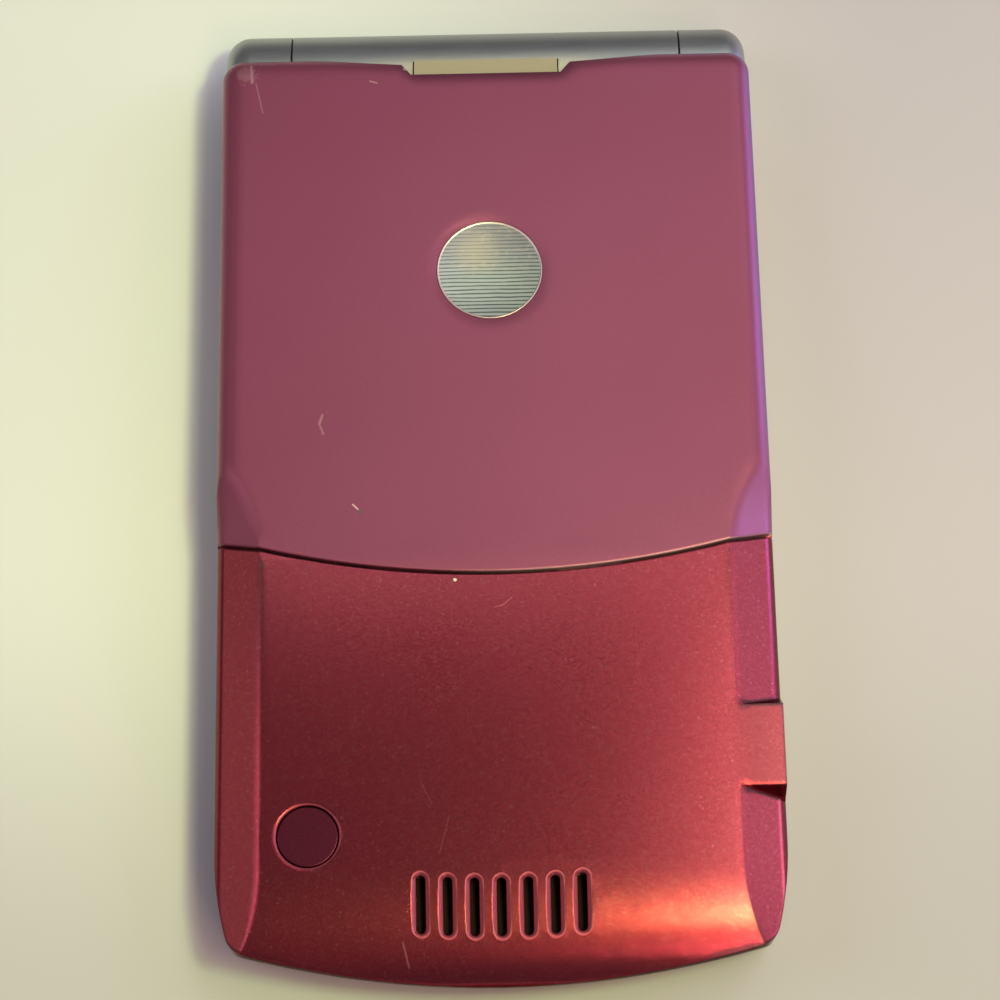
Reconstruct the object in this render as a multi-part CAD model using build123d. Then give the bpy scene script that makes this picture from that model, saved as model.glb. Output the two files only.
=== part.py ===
from build123d import *

import os
from math import asin, cos, degrees, hypot, pi, radians, sin, tan

# Slim clamshell mobile phone, closed and lying on the outer face of its flip.
#
# Frame: X across the phone, Y along it towards the hinge, Z up out of the battery side.
# Origin: middle of the closed phone's footprint, on the plane of the flip's outer face.
# All lengths are millimetres.

# ---------------------------------------------------------------- driving dimensions

LENGTH = 98.0  # hinge crown to chin tip
WIDTH = 53.0
CHIN_THICKNESS = 13.9
FLIP_THICKNESS = 5.9
CLOSED_GAP = 0.3  # between the flip's inner face and the keypad deck

# Clearances shared by many pieces
FIT = 0.1  # round a part that drops into a seat
RUNNING_FIT = 0.05  # round a part that turns

# Hinge line
HINGE_RADIUS = 4.9
HINGE_CLEARANCE = 0.25  # round the barrel and the knuckles
KNUCKLE_WIDTH = 6.8  # each flip knuckle, along the hinge
KNUCKLE_GAP = 0.2  # between a knuckle and the middle barrel
KNUCKLE_ROUNDING = 2.5
BORE_RADIUS = 3.7
MODULE_LENGTH = 10.6
MODULE_WALL = 1.0
CAM_SHAFT_RADIUS = 1.7
CAM_HEAD_SIDE = 5.1  # square head that drives the knuckle
BUSH_RADIUS = 2.7
BUSH_BORE = 1.8
PIVOT_REACH = 4.6  # how far each pivot enters its knuckle

# Back of the phone
HINGE_END_DROP = 1.3  # how much thinner the phone is at the hinge end
DROP_FROM_TIP = 40.0
NOSE_LENGTH = 11.0  # the back curves down over this length at the chin
NOSE_DROP = 3.2
BEVEL_WIDTH = 4.35  # each long side bevel, at full thickness
BEVEL_ANGLE = 30.0
SHOULDER_RADIUS = 1.6  # where a bevel turns into the side wall

# Chin
CHIN_LENGTH = 11.5  # full thickness, beyond the flip's free end
TIP_RADIUS = 92.0  # plan radius of the chin's end
TIP_UNDERCUT = 1.2
TIP_UNDERCUT_Z = 10.7
TIP_CORNER_RADIUS = 2.5
CHIN_FRONT_RADIUS = 1.8
FLANK_RADIUS = 35.0  # the sides draw in towards the tip on this radius
FLANK_FROM_TIP = 14.0

# Antenna cover, over the chin
ANTENNA_COVER_WALL = 1.2
ANTENNA_COVER_SKIRT_Z = 8.4
SEAM_RADIUS = 91.0  # plan radius of the seam between the two covers
SEAM_FROM_TIP = 38.4
SEAM_GAP = 0.25

# Battery cover
COVER_WALL = 1.0
COVER_SKIRT_Z = 10.4
COVER_FROM_CROWN = 4.7  # the cover stops this far short of the hinge's crown
COVER_CORNER_RADIUS = 2.2
COVER_EDGE_RADIUS = 1.9  # rounding of the cover's long edges and hinge end
RUN_OUT_FROM_SEAM = 2.6  # the chin's bevels run on this far, then curve out of the cover
RUN_OUT_RADIUS = 25.0
SEAM_EDGE_RADIUS = 0.18
SCOOP_RADIUS = 112.0  # the hinge end of the cover is scooped on this radius
SCOOP_DEPTH = 1.6
NOTCH_HALF_WIDTH = 7.5
NOTCH_DEPTH = 0.85
NOTCH_SLANT = 0.7
TAB_WIDTH = 6.0
TAB_X = 9.0
TAB_REACH = 1.2  # each tab's reach under the antenna cover's lip
TAB_THICKNESS = 0.5
TAB_CLEARANCE = 0.2
MEDALLION_FROM_END = 23.9
MEDALLION_RADIUS = 5.15
MEDALLION_THICKNESS = 0.3
MEDALLION_PROUD = 0.05

# Battery cover latch
LATCH_HALF_WIDTH = 7.2
LATCH_LENGTH = 2.0
LATCH_FIT = 0.15
LATCH_TRAVEL = 0.8
LATCH_SUNK = 0.65  # its high edge below the cover's skin
LATCH_SLOPE = 0.6
LATCH_HEIGHT = 1.9

# Loudspeaker slots
SLOT_COUNT = 7
SLOT_PITCH = 2.45
SLOT_WIDTH = 0.82
SLOT_LENGTH = 5.2
SLOT_RIM = 0.42  # width of the countersunk rim round a slot
SLOT_RIM_DEPTH = 0.4
SLOT_FROM_TIP = 6.9
SLOT_ROW_RADIUS = 84.0

# Test port plug
PLUG_FROM_SIDE = 8.88
PLUG_FROM_TIP = 13.6
PLUG_RADIUS = 2.8
PLUG_CLEARANCE = 0.12
PLUG_THICKNESS = 1.5
PLUG_SUNK = 0.08

# Charging socket and the pad over it
SOCKET_FROM_TIP = 21.4
SOCKET_WIDTH = 7.6
SOCKET_HEIGHT = 3.9
SOCKET_DEPTH = 9.0
SOCKET_WALL = 0.4
SOCKET_SUNK = 0.25  # mouth of the socket behind the side wall
SOCKET_CLEARANCE = 0.1
TONGUE_THICKNESS = 0.8
PAD_FLARE = 1.1  # how far each end of the pad slopes out
PAD_DROP = 2.6

# Flip shells
FLIP_TIP_RADIUS = 90.0
FLIP_TIP_GAP = 0.3
FLIP_CORNER_RADIUS = 2.0
FLIP_EDGE_CHAMFER = 1.1
FLIP_EDGE_RISE = 1.5
FLIP_COVER_WALL = 0.9
FLIP_COVER_TOP_Z = 2.6
FLIP_FRAME_TOP_Z = 4.6
FLIP_SIDE_WALL = 3.9
FLIP_TIP_WALL = 3.3
FLIP_HINGE_WALL = 6.9  # from the hinge line to the flip's cavity

# Outer window, outer display and camera
OUTER_WINDOW_WIDTH = 28.0
OUTER_WINDOW_LENGTH = 36.0
OUTER_WINDOW_THICKNESS = 0.75
OUTER_WINDOW_CORNER = 5.0
OUTER_WINDOW_FROM_AXIS = 7.5
OUTER_DISPLAY_WIDTH = 25.0
OUTER_DISPLAY_LENGTH = 21.0
OUTER_DISPLAY_THICKNESS = 1.2
OUTER_DISPLAY_BORDER = 0.9
CAMERA_SIDE = 8.0
CAMERA_BODY_HEIGHT = 2.4
CAMERA_BARREL_HEIGHT = 1.2
CAMERA_BARREL_RADIUS = 2.6
CAMERA_PUPIL_RADIUS = 1.3
CAMERA_FROM_AXIS = 12.7

# Main window and display
WINDOW_WIDTH = 42.0
WINDOW_THICKNESS = 0.8
WINDOW_CORNER = 2.0
WINDOW_SUNK = 0.1
WINDOW_FROM_FLIP_TIP = 10.0
WINDOW_FROM_AXIS = 14.6
DISPLAY_SIDE_BORDER = 1.0  # inside the window's outline
DISPLAY_END_BORDER = 3.0
DISPLAY_THICKNESS = 1.5
APERTURE_SIDE_BORDER = 2.0  # inside the display's outline
APERTURE_END_BORDER = 3.0

# Flip board, earpiece and bumpers
FLIP_BOARD_THICKNESS = 0.6
EARPIECE_WIDTH = 12.0
EARPIECE_LENGTH = 4.6
EARPIECE_HEIGHT = 1.6
EARPIECE_FROM_FLIP_TIP = 6.1
EARPIECE_SLOT_WIDTH = 9.0
EARPIECE_SLOT_HEIGHT = 1.5
GRILLE_THICKNESS = 0.3
GRILLE_HOLE_RADIUS = 0.25
GRILLE_HOLE_PITCH = 0.75
GRILLE_COLUMNS = 11
BUMPER_WIDTH = 3.2
BUMPER_LENGTH = 2.0
BUMPER_THICKNESS = 0.6
BUMPER_PROUD = 0.15
BUMPER_INSET = 6.0
BUMPER_FROM_FLIP_TIP = 4.9

# Side keys, in the flip's frame
SIDE_KEY_HEIGHT = 1.3
SIDE_KEY_PROUD = 0.35
SIDE_KEY_DEPTH = 2.0
SIDE_KEY_TRAVEL = 0.3
SIDE_KEY_FIT = 0.12
ROCKER_LENGTH = 12.0
ROCKER_FROM_AXIS = 24.1
SMART_KEY_LENGTH = 5.0
SMART_KEY_FROM_AXIS = 36.6
VOICE_KEY_LENGTH = 6.0
VOICE_KEY_FROM_AXIS = 29.1

# Keypad
KEYPAD_BORDER = 3.3  # from the phone's side to the keypad sheet
KEYPAD_FROM_FLIP_TIP = 3.5
KEYPAD_FROM_AXIS = 8.1
KEYPAD_CORNER = 2.5
KEYPAD_LEDGE = 0.8
KEYPAD_PLATE = 0.3
KEYPAD_MARGIN = 1.0
KEY_SPACING = 0.9
KEY_FIT = 0.15
KEY_CORNER = 1.0
KEY_ROW_RADIUS = 160.0  # the rows of keys sag on this radius
KEY_TRAVEL = 0.25
COLUMNS = 3
DIGIT_ROWS = 4
CALL_KEY_HEIGHT = 6.4
SOFT_KEY_HEIGHT = 6.2
SOFT_ROW_MARGIN = 2.6
NAV_RADIUS = 9.0
NAV_HOLE_RADIUS = 4.1
SELECT_RADIUS = 3.7
PLUNGER_RADIUS = 1.4
PLUNGER_HEIGHT = 0.15
DOME_RADIUS = 2.2
DOME_GAP = 0.03  # left over a dome with its key fully pressed

# Keypad half: deck, chassis and board
DECK_THICKNESS = 0.9
HOUSING_WALL = 2.2
KEYPAD_BOARD = 0.3
CHASSIS_FLOOR = 0.4
CHASSIS_END_WALL = 0.8
CHASSIS_TOP_Z = 10.9
BOARD_THICKNESS = 0.8
BOARD_POST_HEIGHT = 0.5
BOARD_FROM_FLIP_TIP = 5.9
BOARD_FROM_SEAM = 2.4
CAN_HEIGHT = 1.8
CAN_SPACING = 1.0
SCREW_HEAD_RADIUS = 1.3
SCREW_HEAD_HEIGHT = 0.6
SCREW_RADIUS = 0.7
SCREW_RECESS = 0.45

# Battery and its contacts
BATTERY_WIDTH = 36.0
BATTERY_THICKNESS = 3.5
BATTERY_FROM_SEAM = 2.0
BATTERY_END_WALL = 2.65
BATTERY_CORNER = 1.5
BATTERY_FIT = 0.2
CONTACT_PITCH = 4.0
CONTACT_WIDTH = 1.6
CONTACT_HEIGHT = 1.5

# Loudspeaker, microphone, antenna and vibration motor
SPEAKER_WIDTH = 18.6
SPEAKER_LENGTH = 7.0
SPEAKER_HEIGHT = 2.8
SPEAKER_TOP_Z = 11.3
SPEAKER_CORNER = 1.5
SPEAKER_LIP = 0.8
SPEAKER_DISH = 0.6
SPEAKER_MESH = 0.2
SPEAKER_RIM = 0.6  # rib of the antenna cover that holds the loudspeaker
MICROPHONE_X = 8.0
MICROPHONE_FROM_TIP = 7.4
MICROPHONE_RADIUS = 2.0
MICROPHONE_HEIGHT = 1.5
MICROPHONE_HOLE = 0.45
ANTENNA_HALF = 16.0
ANTENNA_LEAF = 5.0
ANTENNA_STRIP = 0.3
ANTENNA_SLIT = 1.5
MOTOR_X = -8.0
MOTOR_FROM_FLIP_TIP = 2.6
MOTOR_RADIUS = 1.9
MOTOR_LENGTH = 8.0
MOTOR_SHAFT_RADIUS = 0.4
MOTOR_SHAFT_REACH = 2.0
WEIGHT_RADIUS = 1.8
WEIGHT_LENGTH = 3.2
WEIGHT_GAP = 0.2

# ---------------------------------------------------------------- derived places

HALF = WIDTH / 2
TIP_Y = -LENGTH / 2
CROWN_Y = LENGTH / 2
AXIS_Y = CROWN_Y - HINGE_RADIUS
AXIS_Z = FLIP_THICKNESS + CLOSED_GAP / 2
HINGE_SEAT = HINGE_RADIUS + HINGE_CLEARANCE
BARREL_HALF = HALF - KNUCKLE_WIDTH - KNUCKLE_GAP
KNUCKLE_START = BARREL_HALF + KNUCKLE_GAP

BACK_Z = CHIN_THICKNESS
DECK_Z = FLIP_THICKNESS + CLOSED_GAP
PLATE_TOP_Z = DECK_Z + KEYPAD_PLATE
BOARD_UNDER_Z = DECK_Z + DECK_THICKNESS
CHASSIS_Z = BOARD_UNDER_Z + KEYPAD_BOARD
CHASSIS_FLOOR_Z = CHASSIS_Z + CHASSIS_FLOOR
MAIN_BOARD_Z = CHASSIS_FLOOR_Z + BOARD_POST_HEIGHT
BOARD_TOP_Z = MAIN_BOARD_Z + BOARD_THICKNESS
FLIP_FLOOR_Z = FLIP_COVER_WALL + FIT
FLIP_BOARD_Z = FLIP_FLOOR_Z + OUTER_DISPLAY_THICKNESS + FIT / 2

FLIP_TIP_Y = TIP_Y + CHIN_LENGTH
SEAM_Y = TIP_Y + SEAM_FROM_TIP
DROP_START_Y = TIP_Y + DROP_FROM_TIP
NOSE_START_Y = TIP_Y + NOSE_LENGTH
FLANK_START_Y = TIP_Y + FLANK_FROM_TIP
SLOT_Y = TIP_Y + SLOT_FROM_TIP
PLUG = (PLUG_FROM_SIDE - HALF, TIP_Y + PLUG_FROM_TIP)
SOCKET_Y = TIP_Y + SOCKET_FROM_TIP
MICROPHONE_Y = TIP_Y + MICROPHONE_FROM_TIP
COVER_END_Y = CROWN_Y - COVER_FROM_CROWN
NOTCH_Y = COVER_END_Y - SCOOP_DEPTH - NOTCH_DEPTH
MEDALLION_Y = COVER_END_Y - MEDALLION_FROM_END

TIP_CENTRE_Y = TIP_Y + TIP_RADIUS
SEAM_CENTRE_Y = SEAM_Y + SEAM_RADIUS
FLIP_TIP_CENTRE_Y = FLIP_TIP_Y + FLIP_TIP_RADIUS

FLIP_CAVITY_HALF = HALF - FLIP_SIDE_WALL
FLIP_CAVITY_Y = (FLIP_TIP_Y + FLIP_TIP_WALL, AXIS_Y - FLIP_HINGE_WALL)
WINDOW_Y = (FLIP_TIP_Y + WINDOW_FROM_FLIP_TIP, AXIS_Y - WINDOW_FROM_AXIS)
OUTER_WINDOW_Y = AXIS_Y - OUTER_WINDOW_FROM_AXIS - OUTER_WINDOW_LENGTH / 2
OUTER_WINDOW_LOW_Y = OUTER_WINDOW_Y - OUTER_WINDOW_LENGTH / 2
OUTER_DISPLAY_Y = OUTER_WINDOW_LOW_Y + OUTER_DISPLAY_BORDER + OUTER_DISPLAY_LENGTH / 2
CAMERA_Y = AXIS_Y - CAMERA_FROM_AXIS
EARPIECE_Y = FLIP_TIP_Y + EARPIECE_FROM_FLIP_TIP
BUMPER_Y = FLIP_TIP_Y + BUMPER_FROM_FLIP_TIP

KEYPAD_HALF = HALF - KEYPAD_BORDER
KEYPAD_Y = (FLIP_TIP_Y + KEYPAD_FROM_FLIP_TIP, AXIS_Y - KEYPAD_FROM_AXIS)
KEY_WIDTH = (2 * (KEYPAD_HALF - KEYPAD_MARGIN) + KEY_SPACING) / COLUMNS - KEY_SPACING
SOFT_ROW_Y = (KEYPAD_Y[1] - SOFT_ROW_MARGIN - SOFT_KEY_HEIGHT, KEYPAD_Y[1] - SOFT_ROW_MARGIN)
NAV_Y = SOFT_ROW_Y[0] - KEY_SPACING - NAV_RADIUS
CALL_ROW_TOP_Y = NAV_Y - NAV_RADIUS - KEY_SPACING
CALL_ROW_Y = (CALL_ROW_TOP_Y - CALL_KEY_HEIGHT, CALL_ROW_TOP_Y)
DIGITS_Y = (KEYPAD_Y[0] + KEYPAD_MARGIN, CALL_ROW_Y[0] - KEY_SPACING)
DIGIT_PITCH = (DIGITS_Y[1] - DIGITS_Y[0] + KEY_SPACING) / DIGIT_ROWS

INNER_HALF = HALF - HOUSING_WALL
CHASSIS_HALF = INNER_HALF - FIT
CHASSIS_Y = (KEYPAD_Y[0] - KEYPAD_LEDGE / 2, AXIS_Y - HINGE_SEAT - KEYPAD_LEDGE - FIT)
BATTERY_Y = (SEAM_Y + BATTERY_FROM_SEAM, CHASSIS_Y[1] - BATTERY_END_WALL)
WELL_Y = (BATTERY_Y[0] - BATTERY_FIT, BATTERY_Y[1] + BATTERY_FIT)
BOARD_Y = (FLIP_TIP_Y + BOARD_FROM_FLIP_TIP, SEAM_Y - BOARD_FROM_SEAM)
MOTOR_Y = FLIP_TIP_Y + MOTOR_FROM_FLIP_TIP
MOTOR_Z = ANTENNA_COVER_SKIRT_Z + RUNNING_FIT + MOTOR_RADIUS
REACH = 2 * LENGTH  # longer than the phone, for cutting solids


# ---------------------------------------------------------------- helpers


def block(x, y, z):
    """A box from (low, high) pairs on each axis."""
    size = (x[1] - x[0], y[1] - y[0], z[1] - z[0])
    return Pos(sum(x) / 2, sum(y) / 2, sum(z) / 2) * Box(*size)


def plate(x, y, z, corner):
    """A flat plate with rounded corners, from (low, high) pairs on each axis."""
    outline = RectangleRounded(x[1] - x[0], y[1] - y[0], corner)
    return extrude(Pos(sum(x) / 2, sum(y) / 2, z[0]) * outline, z[1] - z[0])


def post(radius, centre, z):
    """An upright cylinder."""
    return Pos(centre[0], centre[1], sum(z) / 2) * Cylinder(radius, z[1] - z[0])


def rod(radius, x, y=AXIS_Y, z=AXIS_Z):
    """A cylinder along X, on the hinge line unless told otherwise."""
    return Pos(sum(x) / 2, y, z) * Rot(0, 90, 0) * Cylinder(radius, x[1] - x[0])


def spread(width, centre=0.0):
    """The (low, high) pair of a width about a centre."""
    return (centre - width / 2, centre + width / 2)


def grown(pair, by):
    """A (low, high) pair, longer by the same amount at each end."""
    return (pair[0] - by, pair[1] + by)


def both_sides(shape):
    """A shape and its mirror image across the middle of the phone."""
    return [shape, mirror(shape, Plane.YZ)]


def hinge_side_of(centre_y, radius):
    """All space on the hinge side of an arc across the phone."""
    return Pos(0, centre_y, 0) * Cylinder(radius, REACH)


def layer(form, low, high):
    """The part of a form between two heights."""
    return form & block((-REACH, REACH), (-REACH, REACH), (low, high))


def save(name, shape):
    solids = shape.solids() if hasattr(shape, "solids") else ShapeList(shape)
    whole = solids[0] if len(solids) == 1 else Compound(children=list(solids))
    whole.label = name
    export_step(whole, os.path.join("parts", name + ".step"))


# ---------------------------------------------------------------- outer forms


def arcs_meeting(centre_a, radius_a, centre_b, radius_b):
    """The lower of the two points where two circles cross."""
    dx, dy = centre_b[0] - centre_a[0], centre_b[1] - centre_a[1]
    apart = hypot(dx, dy)
    along = (apart**2 + radius_a**2 - radius_b**2) / (2 * apart)
    aside = (radius_a**2 - along**2) ** 0.5
    foot = (centre_a[0] + along * dx / apart, centre_a[1] + along * dy / apart)
    ends = [(foot[0] + s * aside * dy / apart, foot[1] - s * aside * dx / apart) for s in (1, -1)]
    return min(ends, key=lambda place: place[1])


def back_plan(inset):
    """Outline of the keypad half seen from the back."""
    side = HALF - inset
    flank = (HALF - FLANK_RADIUS, FLANK_START_Y)
    flank_radius = FLANK_RADIUS - inset
    tip_radius = TIP_RADIUS - inset
    end_y = COVER_END_Y - inset
    corner = arcs_meeting(flank, flank_radius, (0, TIP_CENTRE_Y), tip_radius)
    fall = degrees(asin((flank[1] - corner[1]) / flank_radius))
    fan = degrees(asin(corner[0] / tip_radius))
    edges = [
        Line((-side, end_y), (side, end_y)),
        Line((side, end_y), (side, FLANK_START_Y)),
        CenterArc(flank, flank_radius, 0, -fall),
        CenterArc((0, TIP_CENTRE_Y), tip_radius, -90 - fan, 2 * fan),
        CenterArc((-flank[0], flank[1]), flank_radius, 180, fall),
        Line((-side, FLANK_START_Y), (-side, end_y)),
    ]
    outline = make_face(edges)
    tips = outline.vertices().filter_by(lambda v: v.Y < corner[1] + FIT)
    outline = fillet(tips, TIP_CORNER_RADIUS - inset)
    ends = outline.vertices().filter_by(lambda v: v.Y > end_y - FIT)
    return fillet(ends, COVER_CORNER_RADIUS - inset)


def slope_share(y):
    """How far down the hinge-end slope a place is: 1 at the battery cover's end."""
    return (y - DROP_START_Y) / (COVER_END_Y - DROP_START_Y)


def cover_z(y):
    """Height of the battery cover's skin along the middle of the phone."""
    return BACK_Z - HINGE_END_DROP * slope_share(y)


def nose_z(y):
    """Height of the curved back at a place along the chin."""
    share = max(0.0, NOSE_START_Y - y) / NOSE_LENGTH
    return BACK_Z - NOSE_DROP * (1 - (1 - share**2) ** 0.5)


def back_side(inset):
    """Side view of the keypad half: curved nose, level back, slope to the hinge."""
    top = BACK_Z - inset
    tip = TIP_Y + inset
    far = CROWN_Y + NOSE_LENGTH
    nose_centre = (NOSE_START_Y, top - NOSE_DROP)
    nose = EllipticalCenterArc(nose_centre, NOSE_LENGTH - inset, NOSE_DROP, 90, arc_size=90)
    rest = Polyline(
        (NOSE_START_Y, top),
        (DROP_START_Y, top),
        (far, cover_z(far) - inset),
        (far, 0),
        (tip, 0),
        (tip, top - NOSE_DROP),
    )
    return make_face([nose, rest])


def back_section(inset):
    """Section across the keypad half: bevels and rounded shoulders."""
    side = HALF - inset
    fall = tan(radians(BEVEL_ANGLE))
    shoulder = BACK_Z - BEVEL_WIDTH * fall - inset / cos(radians(BEVEL_ANGLE)) + inset * fall
    peak = shoulder + side * fall
    outline = make_face(
        Polyline((-side, 0), (side, 0), (side, shoulder), (0, peak), (-side, shoulder), close=True)
    )
    shoulders = outline.vertices().filter_by(lambda v: abs(v.Y - shoulder) < FIT)
    return fillet(shoulders, SHOULDER_RADIUS - inset)


def back_form(inset):
    """The closed form under the back's skin, or inset below it."""
    plan = extrude(back_plan(inset), CHIN_THICKNESS + NOSE_DROP)
    side = extrude(Plane.YZ * back_side(inset), WIDTH, both=True)
    section = extrude(Plane.XZ * back_section(inset), REACH / 2, both=True)
    return plan & side & section


def bevel_cutter(inset):
    """What the right-hand bevel takes off the battery cover, with its run-out."""
    start_y = SEAM_Y + RUN_OUT_FROM_SEAM
    slope = radians(BEVEL_ANGLE)
    crease_x = HALF - BEVEL_WIDTH
    around = Rectangle(2 * BEVEL_WIDTH, BACK_Z, align=(Align.MIN, Align.CENTER))
    outside = Pos(crease_x - BEVEL_WIDTH / 2, BACK_Z) * around - back_section(inset)
    section = Pos(0, start_y, 0) * (Plane.XZ * outside)
    centre = (
        crease_x + RUN_OUT_RADIUS * sin(slope),
        start_y,
        BACK_Z + RUN_OUT_RADIUS * cos(slope),
    )
    turn = Axis(centre, (cos(slope), 0, -sin(slope)))
    straight = extrude(section, LENGTH, dir=(0, -1, 0))
    return straight + revolve(section, turn, BEVEL_ANGLE)


def cover_form(inset):
    """The closed form under the battery cover's skin, or inset below it."""
    plan = extrude(back_plan(inset), CHIN_THICKNESS)
    side = extrude(Plane.YZ * back_side(inset), WIDTH, both=True)
    low_y = SEAM_Y - 2 * SEAM_GAP
    body = plan & side & block(spread(REACH), (low_y, CROWN_Y), (0, BACK_Z))
    rim = body.faces().sort_by(Axis.Z)[-1].edges().filter_by(lambda e: e.center().Y > low_y + FIT)
    body = fillet(rim, COVER_EDGE_RADIUS - inset)
    for cutter in both_sides(bevel_cutter(inset)):
        body -= cutter
    return body


def eased(body, radius):
    """Rounds a skin's outer edge along the seam, which is cut at the radius given."""

    def on_seam(edge):
        places = [edge.position_at(share) for share in (0, 0.5, 1)]
        return all(abs(hypot(p.X, p.Y - SEAM_CENTRE_Y) - radius) < FIT / 10 for p in places)

    rim = body.edges().filter_by(on_seam).filter_by(lambda e: e.center().Z > BACK_Z - SHOULDER_RADIUS)
    return fillet(rim, SEAM_EDGE_RADIUS)


def tip_undercut(inset):
    """What is taken off below the chin's edge: its end leans in and rounds under."""
    edge = TIP_RADIUS - inset
    lean = edge - TIP_UNDERCUT
    foot = lean - CHIN_FRONT_RADIUS
    outside = edge + FLIP_THICKNESS
    rounding = RadiusArc((lean, CHIN_FRONT_RADIUS), (foot, 0), CHIN_FRONT_RADIUS)
    rest = Polyline(
        (foot, 0),
        (foot, -1),
        (outside, -1),
        (outside, TIP_UNDERCUT_Z),
        (edge, TIP_UNDERCUT_Z),
        (lean, CHIN_FRONT_RADIUS),
    )
    ring = make_face([rounding, rest])
    return Pos(0, TIP_CENTRE_Y, 0) * revolve(Plane.XZ * ring, Axis.Z)


def front_section(inset):
    """Everything between the two chamfered long edges of the phone's front."""
    side = HALF - inset
    section = make_face(
        Polyline(
            (-side, REACH / 2),
            (-side, FLIP_EDGE_RISE),
            (-side + FLIP_EDGE_CHAMFER, inset),
            (side - FLIP_EDGE_CHAMFER, inset),
            (side, FLIP_EDGE_RISE),
            (side, REACH / 2),
            close=True,
        )
    )
    return extrude(Plane.XZ * section, REACH / 2, both=True)


def flip_form(inset):
    """The closed form under the flip's skin, or inset below it."""
    side = HALF - inset
    tip_radius = FLIP_TIP_RADIUS - inset
    fan = degrees(asin(side / tip_radius))
    low = FLIP_TIP_CENTRE_Y - tip_radius * cos(radians(fan))
    high = COVER_END_Y - inset
    arc = CenterArc((0, FLIP_TIP_CENTRE_Y), tip_radius, -90 - fan, 2 * fan)
    sides = Polyline((side, low), (side, high), (-side, high), (-side, low))
    outline = make_face([arc, sides])
    outline = fillet(outline.vertices(), FLIP_CORNER_RADIUS - inset)
    return extrude(outline, FLIP_THICKNESS) & front_section(inset)


def hinge_space():
    """Room round the hinge line for the parts that turn."""
    return rod(HINGE_SEAT, spread(REACH))


def scoop():
    """What the hinge end of a cover gives up to show the barrel."""
    disc_centre = (0, COVER_END_Y - SCOOP_DEPTH + SCOOP_RADIUS)
    disc = post(SCOOP_RADIUS, disc_centre, (-1, REACH))
    return disc & block((-BARREL_HALF, BARREL_HALF), (0, REACH), (-1, REACH))


# ---------------------------------------------------------------- flip


def flip_cover():
    shell = layer(flip_form(0) - flip_form(FLIP_COVER_WALL), 0, FLIP_COVER_TOP_Z)
    opening = plate(
        spread(OUTER_WINDOW_WIDTH + 2 * FIT),
        spread(OUTER_WINDOW_LENGTH + 2 * FIT, OUTER_WINDOW_Y),
        (-1, FLIP_COVER_TOP_Z),
        OUTER_WINDOW_CORNER + FIT,
    )
    return shell - opening - hinge_space() - scoop()


def side_keys():
    """Each side key: the side of the phone it is on, its centre and its length."""
    return {
        "volume_rocker": (1, AXIS_Y - ROCKER_FROM_AXIS, ROCKER_LENGTH),
        "smart_key": (1, AXIS_Y - SMART_KEY_FROM_AXIS, SMART_KEY_LENGTH),
        "voice_key": (-1, AXIS_Y - VOICE_KEY_FROM_AXIS, VOICE_KEY_LENGTH),
    }


def side_key_z():
    return spread(SIDE_KEY_HEIGHT, (FLIP_COVER_TOP_Z + FLIP_FRAME_TOP_Z) / 2)


def side_key_pocket(side, y, length):
    reach = SIDE_KEY_DEPTH + SIDE_KEY_TRAVEL + SIDE_KEY_FIT
    x = sorted((side * (HALF - reach), side * (HALF + 1)))
    return block(x, spread(length + 2 * SIDE_KEY_FIT, y), grown(side_key_z(), SIDE_KEY_FIT))


def side_key(side, y, length):
    x = (HALF - SIDE_KEY_DEPTH, HALF + SIDE_KEY_PROUD)
    body = block(x, spread(length, y), side_key_z())
    body = fillet(body.edges().filter_by(Axis.Z).group_by(Axis.X)[-1], SIDE_KEY_PROUD)
    return body if side > 0 else mirror(body, Plane.YZ)


def knuckle():
    """Right-hand knuckle of the flip, rounded at its end, with its web to the frame."""
    x = (KNUCKLE_START, HALF - FIT)
    drum = rod(HINGE_RADIUS, x)
    drum = fillet(drum.edges().sort_by(Axis.X)[-1], KNUCKLE_ROUNDING)
    web = block(x, (FLIP_CAVITY_Y[1], AXIS_Y), (FLIP_COVER_TOP_Z, FLIP_FRAME_TOP_Z))
    return drum + web


def flip_frame():
    band = layer(flip_form(0), FLIP_COVER_TOP_Z, FLIP_FRAME_TOP_Z)
    nest = layer(flip_form(FLIP_COVER_WALL + FIT), FLIP_FLOOR_Z, FLIP_COVER_TOP_Z)
    cavity = plate(
        (-FLIP_CAVITY_HALF, FLIP_CAVITY_HALF),
        FLIP_CAVITY_Y,
        (0, FLIP_THICKNESS),
        FLIP_CORNER_RADIUS,
    )
    ring = band + nest - cavity - hinge_space()
    for side, y, length in side_keys().values():
        ring -= side_key_pocket(side, y, length)
    ring += both_sides(knuckle())
    side = CAM_HEAD_SIDE + 2 * RUNNING_FIT
    ring -= Pos(KNUCKLE_START, AXIS_Y, AXIS_Z) * Box(2 * PIVOT_REACH, side, side)
    return ring - rod(BUSH_RADIUS, (-KNUCKLE_START - PIVOT_REACH, -BARREL_HALF))


def window_plate(x_border, y_border, z, corner):
    """A plate inside the main window's outline by the given borders."""
    return plate(
        spread(WINDOW_WIDTH - 2 * x_border), grown(WINDOW_Y, -y_border), z, corner
    )


def bumper_plates(z):
    x = HALF - BUMPER_INSET
    corner = BUMPER_LENGTH / 2 - FIT
    pad = plate(spread(BUMPER_WIDTH, x), spread(BUMPER_LENGTH, BUMPER_Y), z, corner)
    return both_sides(pad)


def bumper_z():
    top = FLIP_THICKNESS + BUMPER_PROUD
    return (top - BUMPER_THICKNESS, top)


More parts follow.
